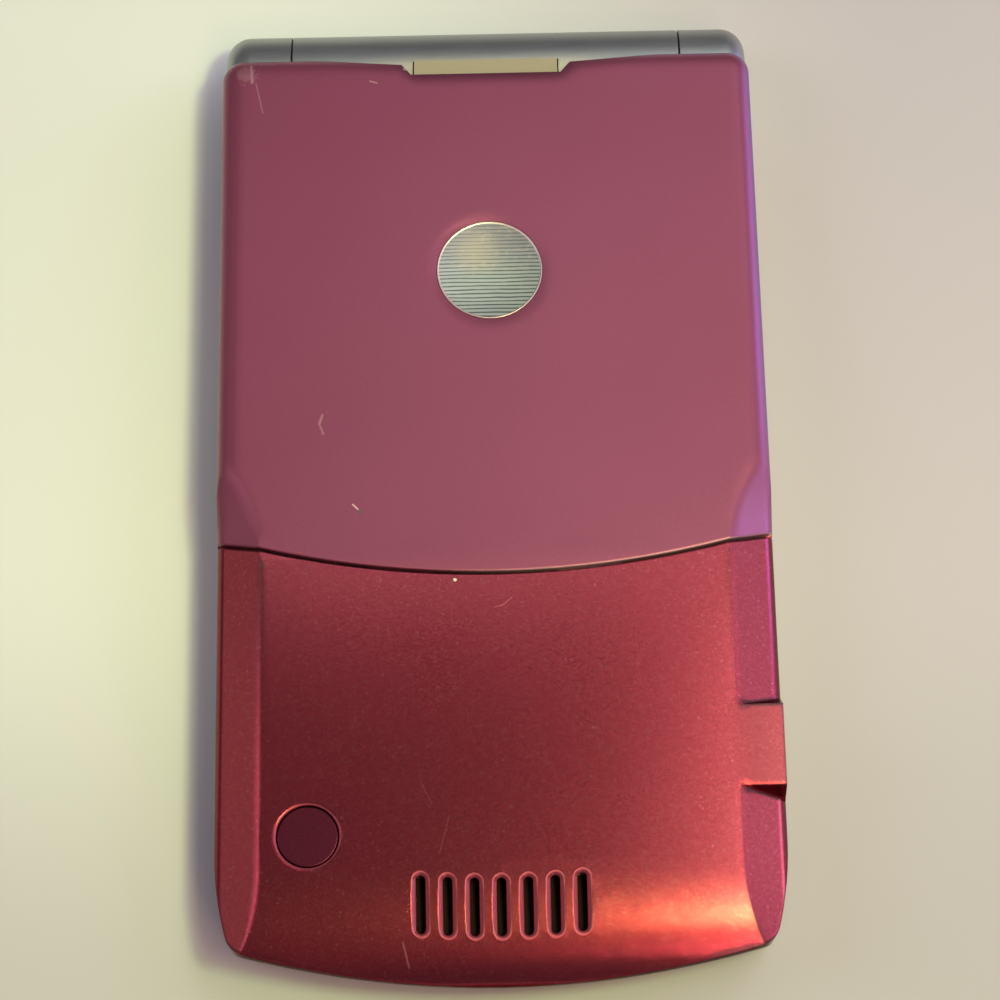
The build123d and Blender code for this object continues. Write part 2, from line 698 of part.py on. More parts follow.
def flip_bezel():
    above = FLIP_THICKNESS + 1
    body = layer(flip_form(0), FLIP_FRAME_TOP_Z, FLIP_THICKNESS) - hinge_space()
    seat_z = FLIP_THICKNESS - WINDOW_SUNK - WINDOW_THICKNESS
    body -= window_plate(-FIT, -FIT, (seat_z, above), WINDOW_CORNER + FIT)
    body -= window_plate(
        DISPLAY_SIDE_BORDER + APERTURE_SIDE_BORDER,
        DISPLAY_END_BORDER + APERTURE_END_BORDER,
        (0, above),
        FIT,
    )
    body -= plate(
        spread(EARPIECE_SLOT_WIDTH),
        spread(EARPIECE_SLOT_HEIGHT, EARPIECE_Y),
        (0, above),
        EARPIECE_SLOT_HEIGHT / 2 - FIT,
    )
    return body - bumper_plates((bumper_z()[0], above))


def flip_bumpers():
    return bumper_plates(bumper_z())


def main_display_window():
    top = FLIP_THICKNESS - WINDOW_SUNK
    return window_plate(0, 0, (top - WINDOW_THICKNESS, top), WINDOW_CORNER)


def main_display():
    z = (FLIP_FRAME_TOP_Z - DISPLAY_THICKNESS, FLIP_FRAME_TOP_Z)
    return window_plate(DISPLAY_SIDE_BORDER, DISPLAY_END_BORDER, z, FIT)


def outer_window():
    return plate(
        spread(OUTER_WINDOW_WIDTH),
        spread(OUTER_WINDOW_LENGTH, OUTER_WINDOW_Y),
        (FLIP_COVER_WALL - OUTER_WINDOW_THICKNESS, FLIP_COVER_WALL),
        OUTER_WINDOW_CORNER,
    )


def outer_display():
    return plate(
        spread(OUTER_DISPLAY_WIDTH),
        spread(OUTER_DISPLAY_LENGTH, OUTER_DISPLAY_Y),
        (FLIP_FLOOR_Z, FLIP_FLOOR_Z + OUTER_DISPLAY_THICKNESS),
        FIT,
    )


def camera_module():
    barrel_top = FLIP_FLOOR_Z + CAMERA_BARREL_HEIGHT
    body = plate(
        spread(CAMERA_SIDE),
        spread(CAMERA_SIDE, CAMERA_Y),
        (barrel_top, barrel_top + CAMERA_BODY_HEIGHT),
        FIT,
    )
    barrel = post(CAMERA_BARREL_RADIUS, (0, CAMERA_Y), (FLIP_FLOOR_Z, barrel_top))
    return body + barrel - Pos(0, CAMERA_Y, FLIP_FLOOR_Z) * Sphere(CAMERA_PUPIL_RADIUS)


def flip_circuit_board():
    board = plate(
        grown((-FLIP_CAVITY_HALF, FLIP_CAVITY_HALF), -FIT),
        grown(FLIP_CAVITY_Y, -FIT),
        (FLIP_BOARD_Z, FLIP_BOARD_Z + FLIP_BOARD_THICKNESS),
        FLIP_CORNER_RADIUS,
    )
    hole = CAMERA_SIDE + 2 * FIT
    return board - plate(spread(hole), spread(hole, CAMERA_Y), (0, FLIP_THICKNESS), FIT)


def earpiece():
    return plate(
        spread(EARPIECE_WIDTH),
        spread(EARPIECE_LENGTH, EARPIECE_Y),
        (FLIP_FRAME_TOP_Z - EARPIECE_HEIGHT, FLIP_FRAME_TOP_Z),
        FIT,
    )


def earpiece_grille():
    low = FLIP_FRAME_TOP_Z + FIT
    z = (low, low + GRILLE_THICKNESS)
    grille = plate(
        spread(EARPIECE_SLOT_WIDTH - FIT),
        spread(EARPIECE_SLOT_HEIGHT - FIT, EARPIECE_Y),
        z,
        EARPIECE_SLOT_HEIGHT / 2 - FIT,
    )
    middle = (GRILLE_COLUMNS - 1) / 2
    holes = [
        post(
            GRILLE_HOLE_RADIUS,
            ((column - middle) * GRILLE_HOLE_PITCH, EARPIECE_Y + row * GRILLE_HOLE_PITCH / 2),
            grown(z, 1),
        )
        for column in range(GRILLE_COLUMNS)
        for row in (-1, 1)
    ]
    return grille - holes


# ---------------------------------------------------------------- hinge


def hinge_barrel():
    """The middle barrel and the bridge that joins it to the keypad half."""
    x = (-BARREL_HALF, BARREL_HALF)
    drum = rod(HINGE_RADIUS, x)
    low = CHASSIS_Y[1] + 2 * FIT
    bridge = block(x, (low, AXIS_Y), (PLATE_TOP_Z + FIT, AXIS_Z + HINGE_RADIUS))
    bridge -= rod(HINGE_RADIUS - FIT, x)
    module_bore = rod(BORE_RADIUS, (BARREL_HALF - MODULE_LENGTH, KNUCKLE_START))
    bush_bore = rod(BUSH_RADIUS + RUNNING_FIT, (-KNUCKLE_START, MODULE_LENGTH - BARREL_HALF))
    return drum + bridge - module_bore - bush_bore - latch_pocket()


def hinge_module():
    """The sprung cam can, pressed into the right end of the barrel."""
    inner = BARREL_HALF - MODULE_LENGTH
    can = rod(BORE_RADIUS, (inner, BARREL_HALF))
    return can - rod(CAM_SHAFT_RADIUS + RUNNING_FIT, (inner + MODULE_WALL, KNUCKLE_START))


def hinge_cam_shaft():
    """The shaft that turns in the can, and its square head in the knuckle."""
    inner = BARREL_HALF - MODULE_LENGTH + MODULE_WALL + FIT
    shaft = rod(CAM_SHAFT_RADIUS, (inner, KNUCKLE_START + PIVOT_REACH / 2))
    head = block(
        (KNUCKLE_START, KNUCKLE_START + PIVOT_REACH - FIT),
        spread(CAM_HEAD_SIDE, AXIS_Y),
        spread(CAM_HEAD_SIDE, AXIS_Z),
    )
    return shaft + head


def hinge_bushing():
    """The hollow pivot on the left, which the ribbon cable passes through."""
    x = (-KNUCKLE_START - PIVOT_REACH, MODULE_LENGTH - BARREL_HALF - FIT)
    return rod(BUSH_RADIUS, x) - rod(BUSH_BORE, grown(x, 1))


# ---------------------------------------------------------------- keypad


def row_band(y, z):
    """A strip across the phone whose two long edges sag on the rows' radius."""
    low, high = y
    strip = hinge_side_of(low + KEY_ROW_RADIUS, KEY_ROW_RADIUS)
    strip -= hinge_side_of(high + KEY_ROW_RADIUS, KEY_ROW_RADIUS)
    return strip & block(spread(WIDTH), grown(y, WIDTH / 2), z)


def key_plate(x, y, z, corner):
    """A key's outline between two heights: straight sides, sagging long edges."""
    sheet = row_band(y, z) & block(x, grown(y, WIDTH), z)
    return fillet(sheet.edges().filter_by(Axis.Z), corner)


def column_x(column):
    """The (low, high) X of a column of keys; the first column is at the user's left."""
    centre = ((COLUMNS - 1) / 2 - column) * (KEY_WIDTH + KEY_SPACING)
    return spread(KEY_WIDTH, centre)


def key_layout():
    """Every key with its (low, high) X and Y. The user sees the deck from below."""
    keys = {}
    rows = ["star 0 hash", "7 8 9", "4 5 6", "1 2 3"]
    for row, names in enumerate(rows):
        low = DIGITS_Y[0] + row * DIGIT_PITCH
        for column, name in enumerate(names.split()):
            keys["key_" + name] = (column_x(column), (low, low + DIGIT_PITCH - KEY_SPACING))
    for column, name in enumerate(("send_key", "clear_key", "end_key")):
        keys[name] = (column_x(column), CALL_ROW_Y)
    for column, name in enumerate(("soft_key_left", "menu_key", "soft_key_right")):
        keys[name] = (column_x(column), SOFT_ROW_Y)
    return keys


def key_centre(x, y):
    """Middle of a key, on its sagging row."""
    middle = sum(x) / 2
    sag = KEY_ROW_RADIUS - (KEY_ROW_RADIUS**2 - middle**2) ** 0.5
    return (middle, sum(y) / 2 + sag)


def plunger(centre):
    return post(PLUNGER_RADIUS, centre, (PLATE_TOP_Z, PLATE_TOP_Z + PLUNGER_HEIGHT))


def key_cap(x, y):
    return key_plate(x, y, (DECK_Z, PLATE_TOP_Z), KEY_CORNER) + plunger(key_centre(x, y))


def navigation_switches():
    """Centres of the four switches under the navigation ring."""
    reach = (NAV_RADIUS + NAV_HOLE_RADIUS) / 2
    turns = [quarter * pi / 2 for quarter in range(4)]
    return [(reach * cos(turn), NAV_Y + reach * sin(turn)) for turn in turns]


def navigation_ring():
    ring = post(NAV_RADIUS, (0, NAV_Y), (DECK_Z, PLATE_TOP_Z))
    ring -= post(NAV_HOLE_RADIUS, (0, NAV_Y), grown((DECK_Z, PLATE_TOP_Z), 1))
    return ring + [plunger(place) for place in navigation_switches()]


def select_key():
    return post(SELECT_RADIUS, (0, NAV_Y), (DECK_Z, PLATE_TOP_Z)) + plunger((0, NAV_Y))


def keypad_sheet(grow, z):
    """The keypad's rounded outline between two heights."""
    x = grown((-KEYPAD_HALF, KEYPAD_HALF), grow)
    return plate(x, grown(KEYPAD_Y, grow), z, KEYPAD_CORNER + grow)


def keypad_frame():
    frame = keypad_sheet(-FIT, (DECK_Z, PLATE_TOP_Z))
    through = grown((DECK_Z, PLATE_TOP_Z), 1)
    for x, y in key_layout().values():
        opening = key_plate(grown(x, KEY_FIT), grown(y, KEY_FIT), through, KEY_CORNER + KEY_FIT)
        frame -= opening
    return frame - post(NAV_RADIUS + KEY_FIT, (0, NAV_Y), through)


def keypad_board():
    """The switch sheet under the keys, with a dome under each of them."""
    y = grown(KEYPAD_Y, KEYPAD_LEDGE / 2)
    sheet = block((-CHASSIS_HALF, CHASSIS_HALF), y, (BOARD_UNDER_Z, CHASSIS_Z))
    pressed_z = PLATE_TOP_Z + PLUNGER_HEIGHT + KEY_TRAVEL + DOME_GAP
    places = [key_centre(x, y) for x, y in key_layout().values()]
    places += navigation_switches() + [(0, NAV_Y)]
    return sheet + [post(DOME_RADIUS, place, (pressed_z, BOARD_UNDER_Z)) for place in places]


# ---------------------------------------------------------------- keypad half


def chin_room(grow=0.0):
    """Space on the hinge side of the gap between the flip's free end and the chin."""
    return hinge_side_of(FLIP_TIP_CENTRE_Y, FLIP_TIP_RADIUS + FLIP_TIP_GAP + grow)


def front_housing():
    """The deck round the keypad and the two side rails."""
    whole = layer(back_form(0), DECK_Z, COVER_SKIRT_Z)
    hinge_side = hinge_side_of(SEAM_CENTRE_Y, SEAM_RADIUS)
    body = (whole & hinge_side) + (layer(whole, DECK_Z, ANTENNA_COVER_SKIRT_Z) - hinge_side)
    body &= chin_room()
    inner_y = (KEYPAD_Y[0] - KEYPAD_LEDGE, AXIS_Y - HINGE_SEAT)
    body -= block((-INNER_HALF, INNER_HALF), inner_y, (BOARD_UNDER_Z, BACK_Z))
    body -= keypad_sheet(0, (0, PLATE_TOP_Z))
    body -= keypad_sheet(-KEYPAD_LEDGE, (0, BACK_Z))
    barrel_y = (AXIS_Y - HINGE_SEAT - KEYPAD_LEDGE, CROWN_Y)
    body -= block((-KNUCKLE_START, KNUCKLE_START), barrel_y, (PLATE_TOP_Z, BACK_Z))
    return body - hinge_space()


def board_screws():
    """Centres of the three board screws; the charging socket has the fourth corner."""
    inset = 2 * SCREW_HEAD_RADIUS
    x = INNER_HALF - inset
    low, high = BOARD_Y[0] + inset, BOARD_Y[1] - inset
    return [(-x, low), (-x, high), (x, high)]


def rear_chassis():
    """Cast tray with the battery well and the posts under the main board."""
    x = (-CHASSIS_HALF, CHASSIS_HALF)
    floor = block(x, CHASSIS_Y, (CHASSIS_Z, CHASSIS_FLOOR_Z))
    walls_y = (WELL_Y[0] - CHASSIS_END_WALL, CHASSIS_Y[1])
    walls = block(x, walls_y, (CHASSIS_Z, CHASSIS_TOP_Z))
    well = plate(
        spread(BATTERY_WIDTH + 2 * BATTERY_FIT),
        WELL_Y,
        (CHASSIS_FLOOR_Z, BACK_Z),
        BATTERY_CORNER,
    )
    body = floor + walls - well - battery_contacts()
    for place in board_screws():
        body += post(SCREW_HEAD_RADIUS, place, (CHASSIS_FLOOR_Z, MAIN_BOARD_Z))
        body -= post(SCREW_RADIUS, place, (CHASSIS_FLOOR_Z, MAIN_BOARD_Z))
    return body


def main_circuit_board():
    board = block((-CHASSIS_HALF, CHASSIS_HALF), BOARD_Y, (MAIN_BOARD_Z, BOARD_TOP_Z))
    z = grown((MAIN_BOARD_Z, BOARD_TOP_Z), 1)
    return board - [post(SCREW_RADIUS + FIT, place, z) for place in board_screws()]


def housing_screws():
    """Three screws with hexagon recesses, through the board into the posts."""
    recess = extrude(RegularPolygon(SCREW_RECESS, 6), SCREW_HEAD_HEIGHT)
    screws = []
    for place in board_screws():
        head = post(SCREW_HEAD_RADIUS, place, (BOARD_TOP_Z, BOARD_TOP_Z + SCREW_HEAD_HEIGHT))
        shank = post(SCREW_RADIUS, place, (CHASSIS_FLOOR_Z, BOARD_TOP_Z))
        bottom = Pos(place[0], place[1], BOARD_TOP_Z + SCREW_HEAD_HEIGHT / 2)
        screws.append(head + shank - bottom * recess)
    return screws


def shield_cans():
    """One can over each half of the board, clear of the socket and the screws."""
    y = grown(BOARD_Y, -SCREW_HEAD_RADIUS)
    z = (BOARD_TOP_Z, BOARD_TOP_Z + CAN_HEIGHT)
    left = INNER_HALF - 4 * SCREW_HEAD_RADIUS
    right = HALF - SOCKET_DEPTH - SCREW_HEAD_RADIUS
    return [block((-left, -CAN_SPACING / 2), y, z), block((CAN_SPACING / 2, right), y, z)]


def battery():
    low = CHASSIS_FLOOR_Z + RUNNING_FIT
    return plate(spread(BATTERY_WIDTH), BATTERY_Y, (low, low + BATTERY_THICKNESS), BATTERY_CORNER)


def battery_contacts():
    """Three sprung blades in the chassis wall, at the chin end of the battery."""
    wall_y = (WELL_Y[0] - CHASSIS_END_WALL, WELL_Y[0])
    tip_y = (WELL_Y[0], BATTERY_Y[0] - RUNNING_FIT)
    blade_z = (CHASSIS_TOP_Z - CONTACT_HEIGHT, CHASSIS_TOP_Z)
    contacts = []
    for place in (-1, 0, 1):
        blade = block(spread(CONTACT_WIDTH, place * CONTACT_PITCH), wall_y, blade_z)
        tip = block(
            spread(CONTACT_WIDTH / 2, place * CONTACT_PITCH), tip_y, grown(blade_z, -RUNNING_FIT)
        )
        contacts.append(blade + tip)
    return contacts


# ---------------------------------------------------------------- charging socket


def socket_z():
    return (BOARD_TOP_Z, BOARD_TOP_Z + SOCKET_HEIGHT)


def charging_socket():
    """Drawn steel shell with its contact tongue; it takes a mini-USB plug."""
    inner, mouth = HALF - SOCKET_DEPTH, HALF - SOCKET_SUNK
    y = spread(SOCKET_WIDTH, SOCKET_Y)
    z = socket_z()
    shell = block((inner, mouth), y, z)
    shell = fillet(shell.edges().filter_by(Axis.X), SOCKET_WALL)
    back_wall = inner + 2 * SOCKET_WALL
    shell -= block((back_wall, HALF), grown(y, -SOCKET_WALL), grown(z, -SOCKET_WALL))
    tongue = block(
        (inner + SOCKET_WALL, mouth - 2 * SOCKET_WALL),
        spread(2 * SOCKET_WIDTH / 3, SOCKET_Y),
        spread(TONGUE_THICKNESS, sum(z) / 2),
    )
    return shell + tongue


def socket_mouth():
    """Cut in the antenna cover that the socket looks out of."""
    mouth = block(
        (HALF - SOCKET_DEPTH - SOCKET_CLEARANCE, HALF + 1),
        spread(SOCKET_WIDTH + 2 * SOCKET_CLEARANCE, SOCKET_Y),
        grown(socket_z(), SOCKET_CLEARANCE),
    )
    return fillet(mouth.edges().filter_by(Axis.X), SOCKET_WALL)


def socket_pad():
    """Pad over the charging socket, level with the back, with sloping ends."""
    top_low, top_high = spread(SOCKET_WIDTH, SOCKET_Y)
    face = make_face(
        Polyline(
            (top_low, BACK_Z),
            (top_high, BACK_Z),
            (top_high + PAD_FLARE, BACK_Z - PAD_DROP),
            (top_low - PAD_FLARE, BACK_Z - PAD_DROP),
            close=True,
        )
    )
    width = BEVEL_WIDTH + FIT
    return Pos(HALF - FIT - width, 0, 0) * extrude(Plane.YZ * face, width)


# ---------------------------------------------------------------- chin


def slot_places():
    """Centres of the loudspeaker slots, on a shallow arc."""
    middle = (SLOT_COUNT - 1) / 2
    places = []
    for i in range(SLOT_COUNT):
        x = (i - middle) * SLOT_PITCH
        rise = SLOT_ROW_RADIUS - (SLOT_ROW_RADIUS**2 - x**2) ** 0.5
        places.append((x, SLOT_Y + rise))
    return places


def slot_cut(x, y):
    """A through slot and the countersunk rim round it, square to the curved back."""
    step = SLOT_LENGTH / 4
    tilt = degrees(asin((nose_z(y + step) - nose_z(y - step)) / (2 * step)))
    seat = Pos(x, y, nose_z(y)) * Rot(tilt, 0, 0)
    opening = SlotOverall(SLOT_LENGTH, SLOT_WIDTH, 90)
    wide = 4 * SLOT_RIM
    rim = SlotOverall(SLOT_LENGTH + wide, SLOT_WIDTH + wide, 90)
    cone = loft([Pos(0, 0, -SLOT_RIM_DEPTH) * opening, Pos(0, 0, SLOT_RIM_DEPTH) * rim])
    return seat * (cone + extrude(opening, 2 * ANTENNA_COVER_WALL, both=True))


def speaker_rim():
    """Rib inside the chin that hangs round the loudspeaker and its mesh."""
    x, y = spread(SPEAKER_WIDTH), spread(SPEAKER_LENGTH, SLOT_Y)
    z = (SPEAKER_TOP_Z - SPEAKER_HEIGHT / 3, BACK_Z)
    outer = plate(grown(x, FIT + SPEAKER_RIM), grown(y, FIT + SPEAKER_RIM), z, SPEAKER_CORNER)
    inner = plate(grown(x, FIT), grown(y, FIT), grown(z, 1), SPEAKER_CORNER)
    return (outer - inner) & back_form(ANTENNA_COVER_WALL / 2)


def antenna_cover():
    """The chin's shell: curved nose, bevels, slots, pad, plug hole and undercut end."""
    wall = ANTENNA_COVER_WALL
    seam = SEAM_RADIUS + SEAM_GAP / 2
    outer = eased(back_form(0) - hinge_side_of(SEAM_CENTRE_Y, seam), seam)
    outer = (outer + socket_pad() - tip_undercut(0)) & front_section(0)
    outer -= layer(chin_room(), -1, ANTENNA_COVER_SKIRT_Z)
    inner = layer(back_form(wall), wall, BACK_Z) - tip_undercut(wall)
    inner -= layer(chin_room(wall), -1, ANTENNA_COVER_SKIRT_Z - wall)
    body = outer - inner + speaker_rim()
    for x, y in slot_places():
        body -= slot_cut(x, y)
    body -= socket_mouth()
    body -= post(PLUG_RADIUS + PLUG_CLEARANCE, PLUG, (BACK_Z - 2 * wall, BACK_Z + 1))
    return body - post(MICROPHONE_HOLE, (MICROPHONE_X, MICROPHONE_Y), (-1, 2 * wall))


def test_port_plug():
    top = BACK_Z - PLUG_SUNK
    plug = post(PLUG_RADIUS, PLUG, (top - PLUG_THICKNESS, top))
    return fillet(plug.edges().sort_by(Axis.Z)[-1], PLUG_CLEARANCE)


def loudspeaker():
    """Flat driver with a lip round its sunken cone."""
    x, y = spread(SPEAKER_WIDTH), spread(SPEAKER_LENGTH, SLOT_Y)
    body = plate(x, y, (SPEAKER_TOP_Z - SPEAKER_HEIGHT, SPEAKER_TOP_Z), SPEAKER_CORNER)
    dish = plate(
        grown(x, -SPEAKER_LIP),
        grown(y, -SPEAKER_LIP),
        (SPEAKER_TOP_Z - SPEAKER_DISH, SPEAKER_TOP_Z + 1),
        SPEAKER_CORNER - SPEAKER_LIP / 2,
    )
    return body - dish


def speaker_mesh():
    inset = -SPEAKER_LIP / 2
    return plate(
        grown(spread(SPEAKER_WIDTH), inset),
        grown(spread(SPEAKER_LENGTH, SLOT_Y), inset),
        (SPEAKER_TOP_Z, SPEAKER_TOP_Z + SPEAKER_MESH),
        SPEAKER_CORNER + inset,
    )


def microphone():
    low = ANTENNA_COVER_WALL
    return post(MICROPHONE_RADIUS, (MICROPHONE_X, MICROPHONE_Y), (low, low + MICROPHONE_HEIGHT))


def antenna():
    """Bent strip radiator that follows the inside of the chin's end wall."""
    outer = TIP_RADIUS - ANTENNA_COVER_WALL - TIP_UNDERCUT
    low = ANTENNA_COVER_WALL + MICROPHONE_HEIGHT + 2 * FIT
    high = SPEAKER_TOP_Z - SPEAKER_HEIGHT - FIT
    edge = hinge_side_of(TIP_CENTRE_Y, outer)
    back = edge - hinge_side_of(TIP_CENTRE_Y, outer - ANTENNA_STRIP)
    leaf = edge - hinge_side_of(TIP_CENTRE_Y, outer - ANTENNA_LEAF)
    strip = layer(back, low, high) + layer(leaf, low, low + ANTENNA_STRIP)
    strip += layer(leaf, high - ANTENNA_STRIP, high)
    strip &= block((-ANTENNA_HALF, ANTENNA_HALF), (TIP_Y, FLIP_TIP_Y), (low, high))
    slit = block(
        spread(ANTENNA_SLIT),
        (TIP_Y + ANTENNA_LEAF, FLIP_TIP_Y),
        (high - 2 * ANTENNA_STRIP, high + ANTENNA_STRIP),
    )
    return strip - [Pos(side * ANTENNA_HALF / 2, 0, 0) * slit for side in (-1, 0, 1)]


def vibration_motor():
    x = spread(MOTOR_LENGTH, MOTOR_X)
    shaft_x = (x[1] - MOTOR_SHAFT_REACH, x[1] + 1)
    bore = rod(MOTOR_SHAFT_RADIUS + RUNNING_FIT, shaft_x, MOTOR_Y, MOTOR_Z)
    return rod(MOTOR_RADIUS, x, MOTOR_Y, MOTOR_Z) - bore


def vibration_weight():
    """Half-round weight on the motor's shaft."""
    face = MOTOR_X + MOTOR_LENGTH / 2
    x = (face + WEIGHT_GAP, face + WEIGHT_GAP + WEIGHT_LENGTH)
    disc = rod(WEIGHT_RADIUS, x, MOTOR_Y, MOTOR_Z)
    disc &= block(x, spread(WIDTH, MOTOR_Y), (0, MOTOR_Z + MOTOR_SHAFT_RADIUS))
    shaft_x = (face - MOTOR_SHAFT_REACH + FIT, x[1])
    return disc + rod(MOTOR_SHAFT_RADIUS, shaft_x, MOTOR_Y, MOTOR_Z)


# ---------------------------------------------------------------- battery cover


def cover_tab():
    """A tongue on the cover that reaches under the antenna cover's lip."""
    top = BACK_Z - ANTENNA_COVER_WALL - TAB_CLEARANCE
    x = spread(TAB_WIDTH, TAB_X)
    tongue = block(x, (SEAM_Y - TAB_REACH, SEAM_Y + TAB_REACH), (top - TAB_THICKNESS, top))
    root_y = (SEAM_Y + TAB_REACH / 2, SEAM_Y + 2 * TAB_REACH)
    root = block(x, root_y, (top - TAB_THICKNESS, BACK_Z - COVER_WALL / 2))
    return tongue + (root & hinge_side_of(SEAM_CENTRE_Y, SEAM_RADIUS - SEAM_GAP / 2))


def medallion_floor():
    return cover_z(MEDALLION_Y) - MEDALLION_THICKNESS


def notch():
    """The dip in the cover's scooped end that shows the latch."""
    outline = make_face(
        Polyline(
            (-NOTCH_HALF_WIDTH, NOTCH_Y),
            (NOTCH_HALF_WIDTH, NOTCH_Y),
            (NOTCH_HALF_WIDTH + 2 * NOTCH_SLANT, NOTCH_Y + 2 * NOTCH_DEPTH),
            (-NOTCH_HALF_WIDTH - 2 * NOTCH_SLANT, NOTCH_Y + 2 * NOTCH_DEPTH),
            close=True,
        )
    )
    return extrude(outline, REACH)


def battery_cover():
    """Sheet metal cover: bevelled long edges, scooped hinge end, tabs at the seam."""
    seam = SEAM_RADIUS - SEAM_GAP / 2
    skin = eased(cover_form(0) & hinge_side_of(SEAM_CENTRE_Y, seam), seam)
    skin = layer(skin, COVER_SKIRT_Z, BACK_Z) - scoop() - notch()
    skin -= post(MEDALLION_RADIUS + FIT / 2, (0, MEDALLION_Y), (medallion_floor(), BACK_Z))
    body = skin - cover_form(COVER_WALL) - hinge_space()
    return body + both_sides(cover_tab())


def cover_medallion():
    low = medallion_floor()
    z = (low, low + MEDALLION_THICKNESS + MEDALLION_PROUD)
    return post(MEDALLION_RADIUS, (0, MEDALLION_Y), z)


def latch_places():
    """The latch's (low, high) Y and Z."""
    low = NOTCH_Y + LATCH_FIT
    top = cover_z(NOTCH_Y) - LATCH_SUNK
    return (low, low + LATCH_LENGTH), (top - LATCH_HEIGHT, top)


def latch_pocket():
    """Room for the latch and its travel, in the top of the hinge barrel."""
    y, z = latch_places()
    half = LATCH_HALF_WIDTH + LATCH_FIT
    return block((-half, half), grown(y, LATCH_FIT), (z[0] - LATCH_TRAVEL - LATCH_FIT, BACK_Z))


def cover_latch():
    (low, high), (bottom, top) = latch_places()
    side = make_face(
        Polyline((low, bottom), (high, bottom), (high, top - LATCH_SLOPE), (low, top), close=True)
    )
    body = extrude(Plane.YZ * side, LATCH_HALF_WIDTH, both=True)
    return fillet(body.edges().filter_by(Axis.X).group_by(Axis.Z)[-1], FIT)


# ---------------------------------------------------------------- build


def build():
    os.makedirs("parts", exist_ok=True)
    makers = [
        flip_cover,
        flip_frame,
        flip_bezel,
        flip_bumpers,
        main_display_window,
        main_display,
        outer_window,
        outer_display,
        camera_module,
        flip_circuit_board,
        earpiece,
        earpiece_grille,
        hinge_barrel,
        hinge_module,
        hinge_cam_shaft,
        hinge_bushing,
        keypad_frame,
        keypad_board,
        navigation_ring,
        select_key,
        front_housing,
        rear_chassis,
        main_circuit_board,
        housing_screws,
        shield_cans,
        battery,
        battery_contacts,
        charging_socket,
        antenna_cover,
        test_port_plug,
        loudspeaker,
        speaker_mesh,
        microphone,
        antenna,
        vibration_motor,
        vibration_weight,
        battery_cover,
        cover_medallion,
        cover_latch,
    ]
    for maker in makers:
        save(maker.__name__, maker())
    for name, place in side_keys().items():
        save(name, side_key(*place))
    for name, (x, y) in key_layout().items():
        save(name, key_cap(x, y))


build()
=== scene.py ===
# %% [markdown]
# # A slim clamshell phone, closed and lying on its face
# The imported model gives every working part at its true size and place. This script gives
# those parts their finishes, adds the small things that it shapes, and lights and
# frames the whole. It runs from top to bottom, one cell at a time.

import math

import bpy
from mathutils import Matrix, Vector


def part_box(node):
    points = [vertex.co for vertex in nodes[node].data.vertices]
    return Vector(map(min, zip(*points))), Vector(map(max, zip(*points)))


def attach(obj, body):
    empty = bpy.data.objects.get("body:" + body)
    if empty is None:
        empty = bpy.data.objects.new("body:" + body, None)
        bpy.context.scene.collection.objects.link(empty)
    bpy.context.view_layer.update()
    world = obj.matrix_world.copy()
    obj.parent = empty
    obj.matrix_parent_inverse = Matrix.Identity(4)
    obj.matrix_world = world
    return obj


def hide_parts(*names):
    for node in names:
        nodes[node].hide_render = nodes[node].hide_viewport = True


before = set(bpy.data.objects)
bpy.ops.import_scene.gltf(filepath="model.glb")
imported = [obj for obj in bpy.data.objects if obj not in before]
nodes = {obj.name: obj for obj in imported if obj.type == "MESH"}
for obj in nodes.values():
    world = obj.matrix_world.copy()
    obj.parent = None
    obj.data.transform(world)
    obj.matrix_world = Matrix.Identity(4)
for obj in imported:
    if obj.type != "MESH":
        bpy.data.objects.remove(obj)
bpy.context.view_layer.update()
MM = 0.001

# %% [markdown]
# ## The camera
# The phone is seen from the chin's side, nearly from above. A camera is a position, a
# direction and a lens. It could be aimed with a tracking constraint, but two plain turns
# say the same: lean back from straight down, then roll a little in its own plane.

# %% Camera
LENS = 100.85
LEAN = math.radians(17.862)
ROLL = math.radians(-1.152)
DISTANCE = 270.672 * MM
TARGET = Vector((0.571, -1.916, 9.0)) * MM

turn = Matrix.Rotation(LEAN, 4, "X") @ Matrix.Rotation(ROLL, 4, "Z")
away = turn.to_3x3() @ Vector((0, 0, 1))
camera_data = bpy.data.cameras.new("camera")
camera_data.lens = LENS
camera_data.sensor_width = 36
camera_data.clip_start = 0.01
camera = bpy.data.objects.new("camera", camera_data)
camera.matrix_world = Matrix.Translation(TARGET + away * DISTANCE) @ turn
bpy.context.scene.collection.objects.link(camera)
bpy.context.scene.camera = camera
print("camera at", [round(v, 4) for v in camera.matrix_world.translation])

# %% [markdown]
# ## Light
# Metallic paint shows what it reflects, so where a soft panel hangs matters more than how
# bright it is. A level back seen from above mirrors the ceiling. A panel beyond the hinge
# gives the cover its even tone, one on the right lifts that side of the chin, and the rest
# of the ceiling is left dark. A lamp nearer the viewer puts the glow on the curved end. One
# panel would give an even patch, so the lamp hangs in six pieces of unlike power and colour:
# the glow then slants, and turns from yellow to orange where it fades. Panels low round
# the room catch the bevels and the sides.

# %% Lights and surroundings
CEILING = 350.0
ROOM = 600.0


def soft_panel(name, place, aim, size, power, colour):
    """An area light that faces a point. Lengths are millimetres, power is in watts."""
    data = bpy.data.lights.new(name, "AREA")
    data.shape = "RECTANGLE"
    data.size, data.size_y = size[0] * MM, size[1] * MM
    data.energy = power
    data.color = colour
    panel = bpy.data.objects.new(name, data)
    place = Vector(place) * MM
    facing = (place - Vector(aim) * MM).to_track_quat("Z", "Y")
    panel.matrix_world = Matrix.Translation(place) @ facing.to_matrix().to_4x4()
    bpy.context.scene.collection.objects.link(panel)


def ceiling_panel(name, x, y, size, power, colour):
    """A panel that hangs level over the table."""
    soft_panel(name, (x, y, CEILING), (x, y, 0), size, power, colour)


